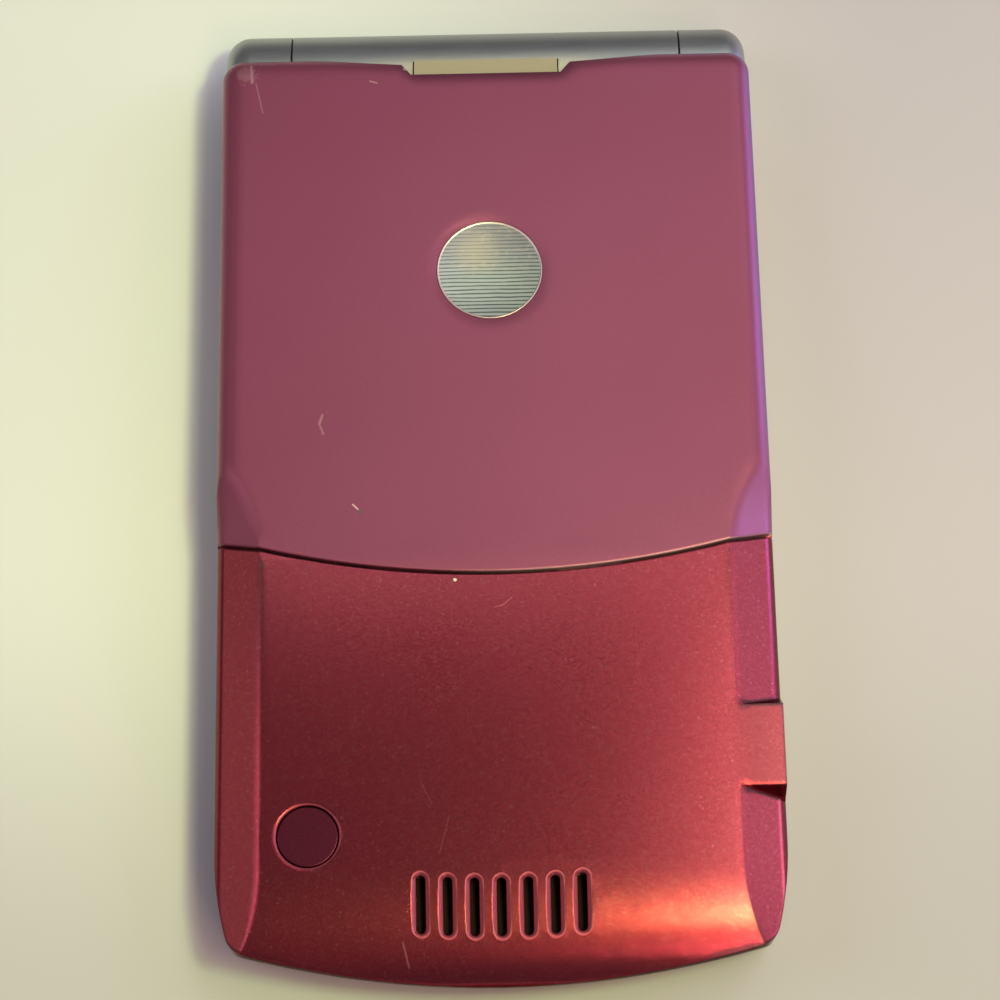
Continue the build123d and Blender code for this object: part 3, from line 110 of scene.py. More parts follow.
def wall_panel(name, bearing, height, size, power, colour):
    """A square panel round the phone: bearing is degrees from the hinge end, clockwise."""
    turn, rise = math.radians(bearing), math.radians(height)
    level = math.cos(rise)
    place = Vector((math.sin(turn) * level, math.cos(turn) * level, math.sin(rise)))
    soft_panel(name, place * ROOM, (0, 0, 10), (size, size), power, colour)


ceiling_panel("lamp_far", 108, -34, (26, 40), 0.06, (1.0, 0.80, 0.42))
ceiling_panel("lamp_right", 97, -68, (28, 34), 0.54, (0.72, 1.0, 0.34))
ceiling_panel("lamp_middle", 73, -90, (30, 34), 0.19, (0.86, 1.0, 0.34))
ceiling_panel("lamp_left", 50, -112, (24, 34), 0.022, (1.0, 0.80, 0.34))
ceiling_panel("lamp_near", 90, -132, (40, 54), 0.13, (1.0, 0.60, 0.34))
ceiling_panel("lamp_tail", 84, -212, (40, 105), 0.24, (1.0, 0.58, 0.46))
ceiling_panel("ceiling_right", 99, 6, (88, 150), 0.235, (1.0, 1.0, 0.86))
ceiling_panel("ceiling_far", 3, 135, (130, 100), 0.070, (1.0, 0.98, 0.96))
ceiling_panel("ceiling_hinge", 75, 300, (90, 120), 0.07, (0.97, 0.95, 1.0))
wall_panel("high_right", 80, 45, 220, 0.33, (0.90, 0.75, 1.0))
wall_panel("high_right_far", 45, 45, 220, 0.22, (1.0, 0.98, 0.93))
wall_panel("middle_right", 75, 25, 200, 0.173, (0.87, 0.87, 1.0))
wall_panel("low_right", 88, 14, 160, 0.36, (0.88, 0.78, 1.0))
wall_panel("low_right_far", 70, 8, 160, 0.52, (0.44, 0.32, 1.0))
wall_panel("near_right", 158, 14, 180, 0.3, (1.0, 0.72, 0.78))
wall_panel("near_right_high", 158, 38, 120, 0.16, (1.0, 0.60, 0.42))
wall_panel("near_left_high", 208, 36, 110, 0.05, (1.0, 0.36, 0.30))
wall_panel("middle_left", 280, 25, 220, 0.09, (1.0, 0.84, 0.68))
wall_panel("high_left", 270, 50, 240, 0.46, (0.93, 1.0, 1.0))

world = bpy.data.worlds.new("room")
world.use_nodes = True
background = world.node_tree.nodes["Background"].inputs
background["Color"].default_value = (0.945, 0.865, 1.0, 1)
background["Strength"].default_value = 0.136
bpy.context.scene.world = world
bpy.context.scene.view_settings.view_transform = "Standard"
print("lights:", len(bpy.data.lights))

# %% [markdown]
# ## Writing finishes as sums
# A finish is a graph of shader nodes. Wiring each by hand hides what it says, so a small
# class wraps a socket and turns `+`, `-`, `*` and `/` into Math nodes. Everything else
# comes from one method that takes a node's kind, its settings and what feeds it.

# %% Values and finishes


class Value:
    """A number that varies over a surface; sums of values become Math nodes."""

    def __init__(self, finish, socket):
        self.finish = finish
        self.socket = socket

    def join(self, operation, left, right):
        """A Math node of two values or numbers."""
        return self.finish.node("Math", {"operation": operation}, {0: left, 1: right})[0]

    def __add__(self, other):
        return self.join("ADD", self, other)

    def __sub__(self, other):
        return self.join("SUBTRACT", self, other)

    def __rsub__(self, other):
        return self.join("SUBTRACT", other, self)

    def __mul__(self, other):
        return self.join("MULTIPLY", self, other)

    def __truediv__(self, other):
        return self.join("DIVIDE", self, other)

    def __pow__(self, other):
        return self.join("POWER", self, other)

    __radd__ = __add__
    __rmul__ = __mul__


class Finish:
    """One material, and short ways to add nodes to it."""

    def __init__(self, name, **shader):
        self.material = bpy.data.materials.new(name)
        self.material.use_nodes = True
        self.tree = self.material.node_tree
        self.shader = self.tree.nodes["Principled BSDF"]
        self.place = self.node("TexCoord")[3]
        for socket, value in shader.items():
            self.feed(socket.replace("_", " ").title(), value)

    def node(self, kind, settings=None, inputs=None):
        """Adds a node: settings first, then what feeds its sockets. Gives its outputs."""
        made = self.tree.nodes.new("ShaderNode" + kind)
        for name, value in (settings or {}).items():
            setattr(made, name, value)
        for name, value in (inputs or {}).items():
            self.connect(made.inputs[name], value)
        return [Value(self, socket) for socket in made.outputs]

    def connect(self, socket, value):
        """Links a value to a socket, or sets the socket to a number or a colour."""
        if isinstance(value, Value):
            self.tree.links.new(value.socket, socket)
        elif socket.type == "RGBA":
            socket.default_value = (*value, 1)
        else:
            socket.default_value = value

    def feed(self, name, value):
        """Sets or links one socket of the surface shader."""
        self.connect(self.shader.inputs[name], value)

    def xyz(self):
        """The three parts of the position, in millimetres."""
        parts = self.node("SeparateXYZ", None, {0: self.place})
        return [part / MM for part in parts]

    def stretched(self, along_x, along_y, along_z):
        """The position with each axis scaled, to draw a pattern out into streaks."""
        scale = (along_x, along_y, along_z)
        return self.node("Mapping", None, {"Vector": self.place, "Scale": scale})[0]

    def noise(self, scale, detail=2.0, where=None):
        """Cloudy noise from 0 to 1; scale is in patches to the metre."""
        inputs = {"Vector": where or self.place, "Scale": scale, "Detail": detail}
        return self.node("TexNoise", None, inputs)[0]

    def grains(self, scale):
        """A flat random number from 0 to 1 for each little cell of the surface."""
        inputs = {"Vector": self.place, "Scale": scale}
        colour = self.node("TexVoronoi", None, inputs)[1]
        return self.node("SeparateColor", None, {0: colour})[0]

    def step(self, value, low, high):
        """0 below low, 1 above high, and smooth between."""
        inputs = {"Value": value, "From Min": low, "From Max": high}
        settings = {"interpolation_type": "SMOOTHSTEP"}
        return self.node("MapRange", settings, inputs)[0]

    def mix(self, share, first, second):
        """A colour part of the way from the first to the second."""
        settings = {"data_type": "RGBA"}
        return self.node("Mix", settings, {0: share, 6: first, 7: second})[2]

    def relief(self, height, depth, strength, edge=0.0):
        """Raises the surface by a height from 0 to 1 times a depth in metres. An edge is
        the radius, in metres, that the paint rounds a corner to."""
        inputs = {"Height": height, "Distance": depth, "Strength": strength}
        if edge:
            inputs["Normal"] = self.node("Bevel", {"samples": 8}, {"Radius": edge})[0]
        self.feed("Normal", self.node("Bump", None, inputs)[0])


def dress(finish, *names):
    """Gives a finish to CAD nodes or to new pieces."""
    for name in names:
        piece = name if isinstance(name, bpy.types.Object) else nodes[name]
        piece.data.materials.clear()
        piece.data.materials.append(finish.material)


print("finishes can be written")

# %% [markdown]
# ## Marks of use
# The real phone has been carried with keys and coins. Each scratch is a short stroke at a
# known place, and each chip is a ragged spot. They could be painted on an unwrapped mesh.
# Here a stroke's mask is the distance from the surface to a line, and a chip's is the
# distance to a point, both roughened by noise, so they need no unwrapping and stay where
# they are from any side. Strokes fade in above a height, so none runs down a side.

# %% Strokes and chips
BACK_FROM = 9.0  # millimetres up from the table


def stroke(finish, start, end, width):
    """A mask, 1 on a thin line between two places on the back (millimetres)."""
    first = Vector((*start, 0)) * MM
    along = Vector((end[0] - start[0], end[1] - start[1], 0)) * MM
    flat = finish.node("VectorMath", {"operation": "MULTIPLY"}, {0: finish.place, 1: (1, 1, 0)})[0]
    offset = finish.node("VectorMath", {"operation": "SUBTRACT"}, {0: flat, 1: first})[0]
    share = finish.node("VectorMath", {"operation": "DOT_PRODUCT"}, {0: offset, 1: along})[1]
    share = finish.node(
        "Math",
        {"operation": "DIVIDE", "use_clamp": True},
        {0: share, 1: along.length_squared},
    )[0]
    nearest = finish.node(
        "VectorMath", {"operation": "SCALE"}, {0: tuple(along), "Scale": share}
    )[0]
    gap = finish.node("VectorMath", {"operation": "DISTANCE"}, {0: offset, 1: nearest})[1]
    ragged = width * MM * (0.4 + finish.noise(9000, 1))
    on_back = finish.step(finish.xyz()[2], BACK_FROM, BACK_FROM + 1)
    return on_back * (1 - finish.step(gap / ragged, 0.35, 1.0))


def chip(finish, centre, radius):
    """A mask, 1 inside a ragged spot round a place in space (millimetres)."""
    spot = tuple(Vector(centre) * MM)
    gap = finish.node("VectorMath", {"operation": "DISTANCE"}, {0: finish.place, 1: spot})[1]
    ragged = radius * MM * (0.35 + 1.3 * finish.noise(3500, 3))
    return 1 - finish.step(gap / ragged, 0.75, 1.0)


def most(finish, masks):
    """The strongest of several masks."""
    strongest = masks[0]
    for mask in masks[1:]:
        strongest = strongest.join("MAXIMUM", strongest, mask)
    return strongest


print("marks can be written")

# %% [markdown]
# ## Metallic red paint
# The chin is moulded plastic under a red base coat full of metal flake, with a satin clear
# coat. One colour with some roughness would look like plain plastic, so the flake is a
# field of tiny cells of random brightness with some larger ones among them. A few cells
# carry a painted glint: pale specks mixed into the colour. Metallic paint pales where it is
# seen at a slant, and a dark specular tint holds that back. The end walls get no coat, since
# it would shine white along their edge, and they are painted darker, a painted shade along
# the bottom edge.

# %% Red paint


def red_paint(name, marks=None):
    finish = Finish(name, coat_roughness=0.16, metallic=0.9, specular_tint=(0.14, 0.02, 0.03))
    flake = finish.grains(9500)
    coarse = finish.grains(4600)
    fine = finish.noise(5200, 2)
    # A painted glint: a few flake cells are mixed toward a pale colour, as if they caught the
    # light.
    painted_glint = finish.step(finish.grains(7600), 0.975, 0.998)
    cloud = finish.noise(60, 2)
    tone = 0.38 * flake + 0.10 * coarse + 0.32 * fine + 0.2 * cloud
    colour = finish.mix(tone, (0.190, 0.0128, 0.0272), (0.326, 0.0376, 0.057))
    specks_and_painted_glints = 0.020 * finish.step(coarse, 0.7, 1.0) + 0.10 * painted_glint
    colour = finish.mix(specks_and_painted_glints, colour, (0.95, 0.60, 0.58))
    rough = 0.185 + 0.04 * fine
    edge = 0.3 * MM
    if marks:
        rim_highlights, edge, worn, bare, pad = marks(finish)
        # Painted shade: the charging pad is darkened.
        colour = finish.mix(pad * 0.36, colour, (0.05, 0.0, 0.0))
        # Painted highlight: the slot rims and the plug's lip are made paler.
        colour = finish.mix(rim_highlights * 0.45, colour, (0.36, 0.09, 0.14))
        colour = finish.mix(worn, colour, (0.62, 0.22, 0.22))
        colour = finish.mix(bare, colour, (0.66, 0.58, 0.52))
        rough = rough + 0.2 * rim_highlights + 0.3 * bare
        finish.feed("Metallic", 0.9 - 0.35 * rim_highlights - 0.55 * bare)
    normal = finish.node("TexCoord")[1]
    facing = finish.node("SeparateXYZ", None, {0: normal})[1]
    # Painted shade: the end walls are darkened in colour as well as losing their coat.
    shaded_end_wall = finish.step(0 - facing, 0.7, 0.9)
    colour = finish.mix(shaded_end_wall * 0.4, colour, (0.030, 0.003, 0.006))
    finish.feed("Coat Weight", 0.5 - 0.5 * shaded_end_wall)
    finish.feed("Base Color", colour)
    finish.feed("Roughness", rough)
    finish.relief(flake * 0.5 + fine * 0.5, 0.002 * MM, 0.14, edge)
    return finish


red_shell = red_paint("red_shell")
dress(red_shell, "front_housing", "flip_cover")
print("red paint on the shells")

# %% [markdown]
# ## The chin's rims, edges and wear
# The countersunk rims of the slots and the lip round the plug are painted paler, a painted
# highlight where their edges catch the light, and the charging pad is painted darker, a
# painted shade. Paint rounds every corner that it flows over. A bevelled mesh would need
# as many radii as there are corners, so a mask sets the radius instead: small at the slots
# and at the seam, and wide along the side bevels. The masks are sums of distances to the
# row of slots, to the plug, to the arc of the seam and to the middle line.

# %% Paint on the chin
SLOT_PITCH, SLOT_WIDTH, SLOT_LENGTH, SLOT_ROW_Y = 2.45, 0.82, 5.2, -42.1
SLOT_ROW_RADIUS = 84.0
SEAM_CENTRE_Y, SEAM_RADIUS, SEAM_GAP = 80.4, 91.0, 0.25
plug_low, plug_high = (Vector(corner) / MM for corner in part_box("test_port_plug"))
PLUG_PLACE = (plug_low + plug_high) / 2


def past_seam(x, y):
    """How far a place is from the seam's middle line, positive on the chin's side."""
    return (x * x + (y - SEAM_CENTRE_Y) ** 2) ** 0.5 - SEAM_RADIUS


def magnitude(finish, value):
    """A value without its sign."""
    return finish.node("Math", {"operation": "ABSOLUTE"}, {0: value})[0]


def slot_gap(finish, x, y):
    """The distance to the middle line of the nearest slot, and a mask of the row."""
    across = finish.node("Math", {"operation": "PINGPONG"}, {0: x, 1: SLOT_PITCH / 2})[0]
    along = magnitude(finish, y - SLOT_ROW_Y - x * x / (2 * SLOT_ROW_RADIUS))
    past_end = along.join("MAXIMUM", along - (SLOT_LENGTH - SLOT_WIDTH) / 2, 0.0)
    in_row = 1 - finish.step(x * x, (3.4 * SLOT_PITCH) ** 2, (3.5 * SLOT_PITCH) ** 2)
    return (across * across + past_end * past_end) ** 0.5, in_row


def rim_marks(finish):
    """A mask, 1 on the countersunk rims of the slots and on the lip round the plug, where a
    highlight is painted, and the edge radius, which is small at the slots and larger elsewhere."""
    x, y, z = finish.xyz()
    gap, in_row = slot_gap(finish, x, y)
    rim_highlights = finish.step(gap, SLOT_WIDTH / 2, SLOT_WIDTH / 2 + 0.1)
    rim_highlights = in_row * rim_highlights * (1 - finish.step(gap, 0.8, 0.9))
    near_slot = in_row * (1 - finish.step(gap, 1.0, 1.6))
    from_x, from_y = x - PLUG_PLACE.x, y - PLUG_PLACE.y
    round_plug = (from_x * from_x + from_y * from_y) ** 0.5
    lip = finish.step(round_plug, 2.9, 2.93) * (1 - finish.step(round_plug, 3.02, 3.12))
    from_middle = magnitude(finish, x)
    soft_bevel = finish.step(from_middle, 18, 20) * (1 - finish.step(from_middle, 22.4, 23.6))
    soft_bevel = soft_bevel * finish.step(round_plug, 3.6, 5.5)
    off_seam = finish.step(past_seam(x, y) - SEAM_GAP / 2, 0.3, 1.6)
    edge = 0.1 + (0.45 - 0.35 * near_slot + 0.7 * soft_bevel) * off_seam
    on_back = finish.step(z, BACK_FROM + 0.5, BACK_FROM + 2)
    return most(finish, [rim_highlights, lip]) * on_back, edge * MM


def chin_marks(finish):
    """The rims and the edge radius, then scratches, bare spots and painted shade on the charging
    pad.
    """
    worn = most(
        finish,
        [
            stroke(finish, (-4.6, -33.6), (-5.6, -37.2), 0.06),
            stroke(finish, (-7.3, -30.4), (-6.2, -32.6), 0.05),
            stroke(finish, (-0.1, -14.0), (0.6, -13.8), 0.08),
            stroke(finish, (0.5, -13.9), (1.5, -13.1), 0.09),
            2.0 * stroke(finish, (-9.0, -45.2), (-8.5, -47.3), 0.13),
        ],
    )
    bare = most(
        finish,
        [
            chip(finish, (-23.9, -46.3, 9.5), 0.6),
            chip(finish, (24.6, -44.6, 9.0), 0.9),
            chip(finish, (-3.8, -11.25, 13.8), 0.2),
        ],
    )
    x, y, _ = finish.xyz()
    # Painted shade on the charging pad: a darker patch of the chin's colour.
    on_pad = finish.step(y, -32.3, -32) * (1 - finish.step(y, -23.4, -23.1))
    pad = finish.step(x, 20.5, 24) * on_pad
    return *rim_marks(finish), worn * 0.35, bare, pad


red_chin = red_paint("red_chin", chin_marks)
dress(red_chin, "antenna_cover")
print("red paint on the chin, with the plug at", [round(v, 2) for v in PLUG_PLACE])

# %% [markdown]
# ## Plum paint
# The battery cover is sheet metal with an older, flatter paint: less flake, more body
# colour, and a soft sheen. It darkens a little toward the chin. The same cells and clouds
# make it as in the red paint, in other shares.

# %% Plum paint
plum = Finish("plum_paint", coat_weight=0.25, coat_roughness=0.3)
plum_flake = plum.grains(11000)
plum_cloud = plum.noise(45, 3)
plum_fine = plum.noise(4800, 2)
plum_x, plum_y, plum_z = plum.xyz()
plum_low = 1 - plum.step(plum_y, -12, 30)
plum_tone = 0.2 * plum_flake + 0.25 * plum_fine + 0.55 * plum_cloud + 0.12 - 0.34 * plum_low
plum_colour = plum.mix(plum_tone, (0.212, 0.036, 0.083), (0.293, 0.066, 0.136))
plum.feed("Roughness", 0.38 + 0.08 * plum_fine)
print("plum paint mixed")

# %% [markdown]
# ## Wear of the cover
# The cover carries strokes near its left edge, nicks along its hinge end where the paint is
# gone to the metal, and two dark pits. Its lower edge is paler along the seam: wear, and a
# painted highlight where the edge catches the light.

# %% Strokes, nicks and the seam's wear with its painted highlight
plum_worn = most(
    plum,
    [
        stroke(plum, (-23.5, 43.2), (-23.4, 41.3), 0.2),
        0.5 * stroke(plum, (-23.0, 41.2), (-22.3, 37.9), 0.12),
        0.6 * stroke(plum, (-16.3, 5.5), (-16.6, 4.6), 0.2),
        0.5 * stroke(plum, (-16.5, 4.4), (-16.2, 3.6), 0.17),
        2.0 * stroke(plum, (-13.4, -3.6), (-12.9, -4.1), 0.12),
        1.2 * stroke(plum, (-11.6, 41.2), (-10.9, 41.0), 0.12),
        0.4 * chip(plum, (-24.0, 42.3, 13.4), 1.4),
    ],
)
plum_bare = most(
    plum,
    [
        chip(plum, (-8.0, 42.6, 12.7), 0.32),
        chip(plum, (8.1, 43.0, 12.7), 0.26),
        chip(plum, (-25.4, 43.6, 11.6), 0.3),
    ],
)
plum_pits = most(
    plum,
    [
        chip(plum, (-12.7, -4.3, 13.9), 0.28),
        chip(plum, (15.7, 36.2, 13.9), 0.16),
    ],
)
plum_in_from_seam = 0 - past_seam(plum_x, plum_y) - SEAM_GAP / 2
# Partly wear and partly a painted highlight: a pale line along the seam edge.
plum_seam_wear_and_highlight = plum.step(plum_x, -8, 6) * (1 - plum.step(plum_in_from_seam, 0.045, 0.155))
plum_colour = plum.mix(plum_worn * 0.45, plum_colour, (0.72, 0.42, 0.46))
plum_colour = plum.mix(plum_bare, plum_colour, (0.66, 0.60, 0.56))
plum_colour = plum.mix(plum_pits * 0.8, plum_colour, (0.10, 0.09, 0.10))
plum_colour = plum.mix(plum_seam_wear_and_highlight * 0.6, plum_colour, (0.80, 0.52, 0.58))
plum.feed("Metallic", 0.6 + 0.2 * plum_bare)
print("wear on the plum paint")

# %% [markdown]
# ## The cover's right edge
# Where the cover rounds over to the right, a violet reflection of the light from that side
# is painted into its colour. The drop below the sloping back tells how far round the edge a
# place is, so one mask paints the reflection at the start of the rounding and another at its
# foot. As on the chin, a radius softens the edge, and it grows away from the seam.

# %% Violet edge
BACK_Z = 13.9
SLOPE_FROM_Y = -10.6
COVER_SLOPE = math.atan(1.3 / 53.3)

plum_drop = BACK_Z - (plum_y - SLOPE_FROM_Y) * math.tan(COVER_SLOPE) - plum_z
plum_right = plum.step(plum_x, 5, 15)
plum_far = plum.step(plum_y, -3, 9)
# Painted reflection: the violet light from the right is put into the colour of the edge.
plum_side_reflection = plum_right * plum.step(plum_drop, 0.1, 0.6) * (0.55 + 0.35 * plum_far)
plum_colour = plum.mix(plum_side_reflection, plum_colour, (0.33, 0.11, 0.27))
plum_rim_reflection = plum_right * plum.step(plum_drop, 0.6, 1.3) * plum_far
plum_colour = plum.mix(plum_rim_reflection * 0.8, plum_colour, (0.19, 0.08, 0.42))
plum.feed("Base Color", plum_colour)
plum_edge = 0.16 + 1.9 * plum.step(plum_in_from_seam, 0.375, 2.475)
plum.relief(plum_flake * 0.4 + plum_fine * 0.6, 0.003 * MM, 0.1, plum_edge * MM)
dress(plum, "battery_cover")
print("the cover slopes by", round(math.degrees(COVER_SLOPE), 2), "degrees")

# %% [markdown]
# ## Bare metals
# The hinge barrel and the flip's frame are satin grey metal, the latch is a duller warm
# one, and the inner parts are steel, gold plate and copper. Brushing could be carved into
# the mesh, but it is far too fine, so it is noise drawn out into streaks along the way
# that each part was finished.

# %% Metals


def rubbed_patch(finish):
    """Beside the latch, a warm reflection is painted into the barrel's colour."""
    x, y, z = finish.xyz()
    across = 1 - finish.step(x * x, 50, 200)
    mask = across * (1 - finish.step(y, 43.2, 45.2)) * finish.step(z, 8, 10)
    return 0.6 * mask, (0.80, 0.70, 0.42)


def painted_rim(finish):
    """The frame is bare at the hinge and painted dark plum round the rest of the flip."""
    return 1 - finish.step(finish.xyz()[1], 36.8, 37.2), (0.10, 0.022, 0.035)


def satin_metal(name, dark, light, rough, streaks, patch=None):
    """Metal whose grain runs along an axis; streaks are the scales across and along."""
    finish = Finish(name, metallic=1.0)
    grain = finish.noise(1.0, 3, finish.stretched(*streaks))
    cloud = finish.noise(120, 2)
    colour = finish.mix(0.6 * grain + 0.4 * cloud, dark, light)
    if patch:
        mask, tone = patch(finish)
        colour = finish.mix(mask, colour, tone)
    finish.feed("Base Color", colour)
    finish.feed("Roughness", rough - 0.06 + 0.12 * grain)
    finish.relief(grain, 0.002 * MM, 0.4)
    return finish


grey = (0.34, 0.36, 0.365), (0.49, 0.515, 0.51)
along_hinge = (300, 9000, 9000)
hinge_metal = satin_metal("hinge_metal", *grey, 0.42, along_hinge, rubbed_patch)
frame_metal = satin_metal("frame_metal", *grey, 0.42, along_hinge, painted_rim)
turned_steel = satin_metal(
    "turned_steel", (0.42, 0.42, 0.43), (0.62, 0.62, 0.63), 0.28, (9000, 600, 600)
)
plated_steel = satin_metal(
    "plated_steel", (0.56, 0.56, 0.57), (0.74, 0.74, 0.75), 0.25, (800, 800, 9000)
)
cast_metal = satin_metal(
    "cast_metal", (0.20, 0.20, 0.21), (0.34, 0.34, 0.36), 0.5, (2200, 2200, 2200)
)
latch_metal = satin_metal(
    "latch_metal", (0.50, 0.42, 0.29), (0.60, 0.51, 0.36), 0.34, (400, 9000, 9000)
)
gold_plate = satin_metal(
    "gold_plate", (0.72, 0.48, 0.16), (0.90, 0.66, 0.28), 0.28, (5000, 5000, 5000)
)
copper_strip = satin_metal(
    "copper_strip", (0.58, 0.30, 0.16), (0.78, 0.44, 0.26), 0.34, (900, 7000, 7000)
)
dress(hinge_metal, "hinge_barrel")
dress(frame_metal, "flip_frame")
dress(turned_steel, "hinge_module", "hinge_cam_shaft", "hinge_bushing", "vibration_weight")
dress(
    plated_steel,
    "shield_cans",
    "charging_socket",
    "housing_screws",
    "vibration_motor",
    "microphone",
    "loudspeaker",
    "earpiece",
)
dress(cast_metal, "rear_chassis")
latch_metal.feed("Metallic", 0.35)
dress(latch_metal, "cover_latch")
dress(gold_plate, "battery_contacts")
dress(copper_strip, "antenna")
print("finishes so far:", len(bpy.data.materials))

# %% [markdown]
# ## Plastics, rubber, glass and boards
# Each of these is a body colour with the small unevenness that moulding, printing or
# etching leaves. One function serves them, since only the numbers differ.

# %% Plastics and the like


def moulded(name, dark, light, rough, grain, depth, coat=0.0, metallic=0.0):
    """A plain body colour with a fine grain; grain is in patches to the metre."""
    finish = Finish(name, coat_weight=coat, coat_roughness=0.12, metallic=metallic)
    fine = finish.noise(grain, 3)
    finish.feed("Base Color", finish.mix(fine, dark, light))
    finish.feed("Roughness", rough - 0.05 + 0.1 * fine)
    finish.relief(fine, depth * MM, 0.5)
    return finish


black_bezel = moulded(
    "black_bezel", (0.012, 0.012, 0.014), (0.035, 0.035, 0.038), 0.42, 2600, 0.01
)
side_key_paint = moulded(
    "side_key_paint",
    (0.26, 0.26, 0.27),
    (0.38, 0.38, 0.39),
    0.4,
    5200,
    0.003,
    coat=0.2,
    metallic=0.85,
)
etched_keys = moulded(
    "etched_keys", (0.46, 0.47, 0.50), (0.62, 0.63, 0.66), 0.36, 3800, 0.004, metallic=0.95
)
soft_rubber = moulded(
    "soft_rubber", (0.012, 0.012, 0.012), (0.03, 0.03, 0.03), 0.7, 2400, 0.02
)
red_rubber = moulded(
    "red_rubber", (0.072, 0.0045, 0.018), (0.112, 0.009, 0.030), 0.30, 5200, 0.004, metallic=0.8
)
battery_film = moulded(
    "battery_film", (0.05, 0.05, 0.055), (0.08, 0.08, 0.085), 0.45, 900, 0.01, coat=0.3
)
dark_glass = moulded(
    "dark_glass", (0.006, 0.006, 0.008), (0.010, 0.010, 0.012), 0.08, 60, 0.0, coat=0.8
)
panel_off = moulded(
    "panel_off", (0.010, 0.012, 0.016), (0.018, 0.020, 0.026), 0.16, 90, 0.0, coat=0.6
)
lens_black = moulded(
    "lens_black", (0.006, 0.006, 0.007), (0.014, 0.014, 0.016), 0.2, 400, 0.0, coat=0.9
)
black_mesh = moulded(
    "black_mesh", (0.006, 0.002, 0.002), (0.022, 0.008, 0.009), 0.8, 7000, 0.03
)
black_mesh.feed("Specular IOR Level", 0.12)
board_green = moulded(
    "board_green", (0.01, 0.07, 0.03), (0.02, 0.15, 0.07), 0.35, 1400, 0.01, coat=0.5
)

side_keys = ["volume_rocker", "smart_key", "voice_key"]
keys = [name for name in nodes if name.startswith("key_") or name.endswith("_key")]
keys += ["soft_key_left", "soft_key_right", "navigation_ring", "keypad_frame"]
keys = [name for name in keys if name not in side_keys]
dress(etched_keys, *keys)
dress(side_key_paint, *side_keys)
dress(black_bezel, "flip_bezel")
dress(soft_rubber, "flip_bumpers")
dress(red_rubber, "test_port_plug")
dress(battery_film, "battery")
dress(dark_glass, "main_display_window", "outer_window")
dress(panel_off, "main_display", "outer_display")
dress(lens_black, "camera_module")
dress(black_mesh, "speaker_mesh", "earpiece_grille")
dress(board_green, "flip_circuit_board", "main_circuit_board", "keypad_board")
print("etched pieces:", len(keys))

# %% [markdown]
# ## Modelling tools
# Every new piece starts as a primitive at its true place, is shaped in edit mode and ends
# with its place in its mesh. Operators act on whatever is selected, so the helpers below
# clear the selection first, and pick faces or edges by where they are.

# %% Starting, choosing and finishing


def begin(kind, name, place, **settings):
    """Adds a primitive at a place in millimetres and puts that place in its mesh."""
    bpy.ops.object.select_all(action="DESELECT")
    add_primitive = getattr(bpy.ops.mesh, f"primitive_{kind}_add")
    add_primitive(location=Vector(place) * MM, **settings)
    piece = bpy.context.object
    piece.name = name
    bpy.ops.object.transform_apply(location=True, rotation=True, scale=True)
    return piece


def stretch(piece, x, y, z):
    """Scales a new one-metre primitive to its size in millimetres about its middle."""
    middle = sum((Vector(corner) for corner in piece.bound_box), Vector()) / 8
    bpy.ops.object.mode_set(mode="EDIT")
    bpy.ops.mesh.select_all(action="SELECT")
    bpy.ops.transform.resize(value=(x * MM, y * MM, z * MM), center_override=middle)
    bpy.ops.object.mode_set(mode="OBJECT")


def choose_faces(piece, test):
    """Goes into edit mode with only the faces selected whose middle and normal pass."""
    bpy.ops.object.mode_set(mode="EDIT")
    bpy.ops.mesh.select_mode(type="FACE")
    bpy.ops.mesh.select_all(action="DESELECT")
    bpy.ops.object.mode_set(mode="OBJECT")
    for face in piece.data.polygons:
        face.select = test(face.center, face.normal)
    bpy.ops.object.mode_set(mode="EDIT")


def choose_edges(piece, test):
    """Goes into edit mode with only the edges selected whose two ends pass."""
    bpy.ops.object.mode_set(mode="EDIT")
    bpy.ops.mesh.select_mode(type="EDGE")
    bpy.ops.mesh.select_all(action="DESELECT")
    bpy.ops.object.mode_set(mode="OBJECT")
    points = piece.data.vertices
    for edge in piece.data.edges:
        edge.select = test(*(points[index].co for index in edge.vertices))
    bpy.ops.object.mode_set(mode="EDIT")


def complete(piece, body, finish):
    """Tidies a shaped piece, dresses it, and makes it ride on its body."""
    bpy.ops.object.mode_set(mode="EDIT")
    bpy.ops.mesh.select_all(action="SELECT")
    bpy.ops.mesh.remove_doubles(threshold=0.0002 * MM)
    bpy.ops.mesh.normals_make_consistent(inside=False)
    bpy.ops.object.mode_set(mode="OBJECT")
    bpy.ops.object.shade_smooth_by_angle(angle=math.radians(40))
    dress(finish, piece)
    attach(piece, body)


def middle_of(name):
    """The middle of a CAD node's box, in millimetres."""
    low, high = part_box(name)
    return (Vector(low) + Vector(high)) / 2 / MM


print("modelling tools ready")

# %% [markdown]
# ## The brushed disc
# A thin bare metal disc sits in the battery cover. It is turned with a raised rim, brushed
# across, and follows the slope of the cover. A cylinder is inset and its face sunk, which
# is how the lathe leaves it.

# %% Brushed disc
disc_low, disc_high = (Vector(corner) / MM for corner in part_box("cover_medallion"))
DISC_CENTRE = (disc_low + disc_high) / 2
DISC_RADIUS = (disc_high.x - disc_low.x) / 2
DISC_RIM, DISC_SLOPE, DISC_SUNK = 0.12, 0.06, 0.05

disc_shape = {"vertices": 128, "radius": DISC_RADIUS * MM, "depth": 0.26 * MM}
disc = begin("cylinder", "brushed_disc", DISC_CENTRE, **disc_shape)
choose_faces(disc, lambda middle, normal: normal.z > 0.9)
bpy.ops.mesh.inset(thickness=DISC_RIM * MM)
bpy.ops.mesh.inset(thickness=DISC_SLOPE * MM)
bpy.ops.transform.translate(value=(0, 0, -DISC_SUNK * MM))


def on_outer_edge(*ends):
    return all((end.xy - DISC_CENTRE.xy * MM).length > (DISC_RADIUS - 0.05) * MM for end in ends)


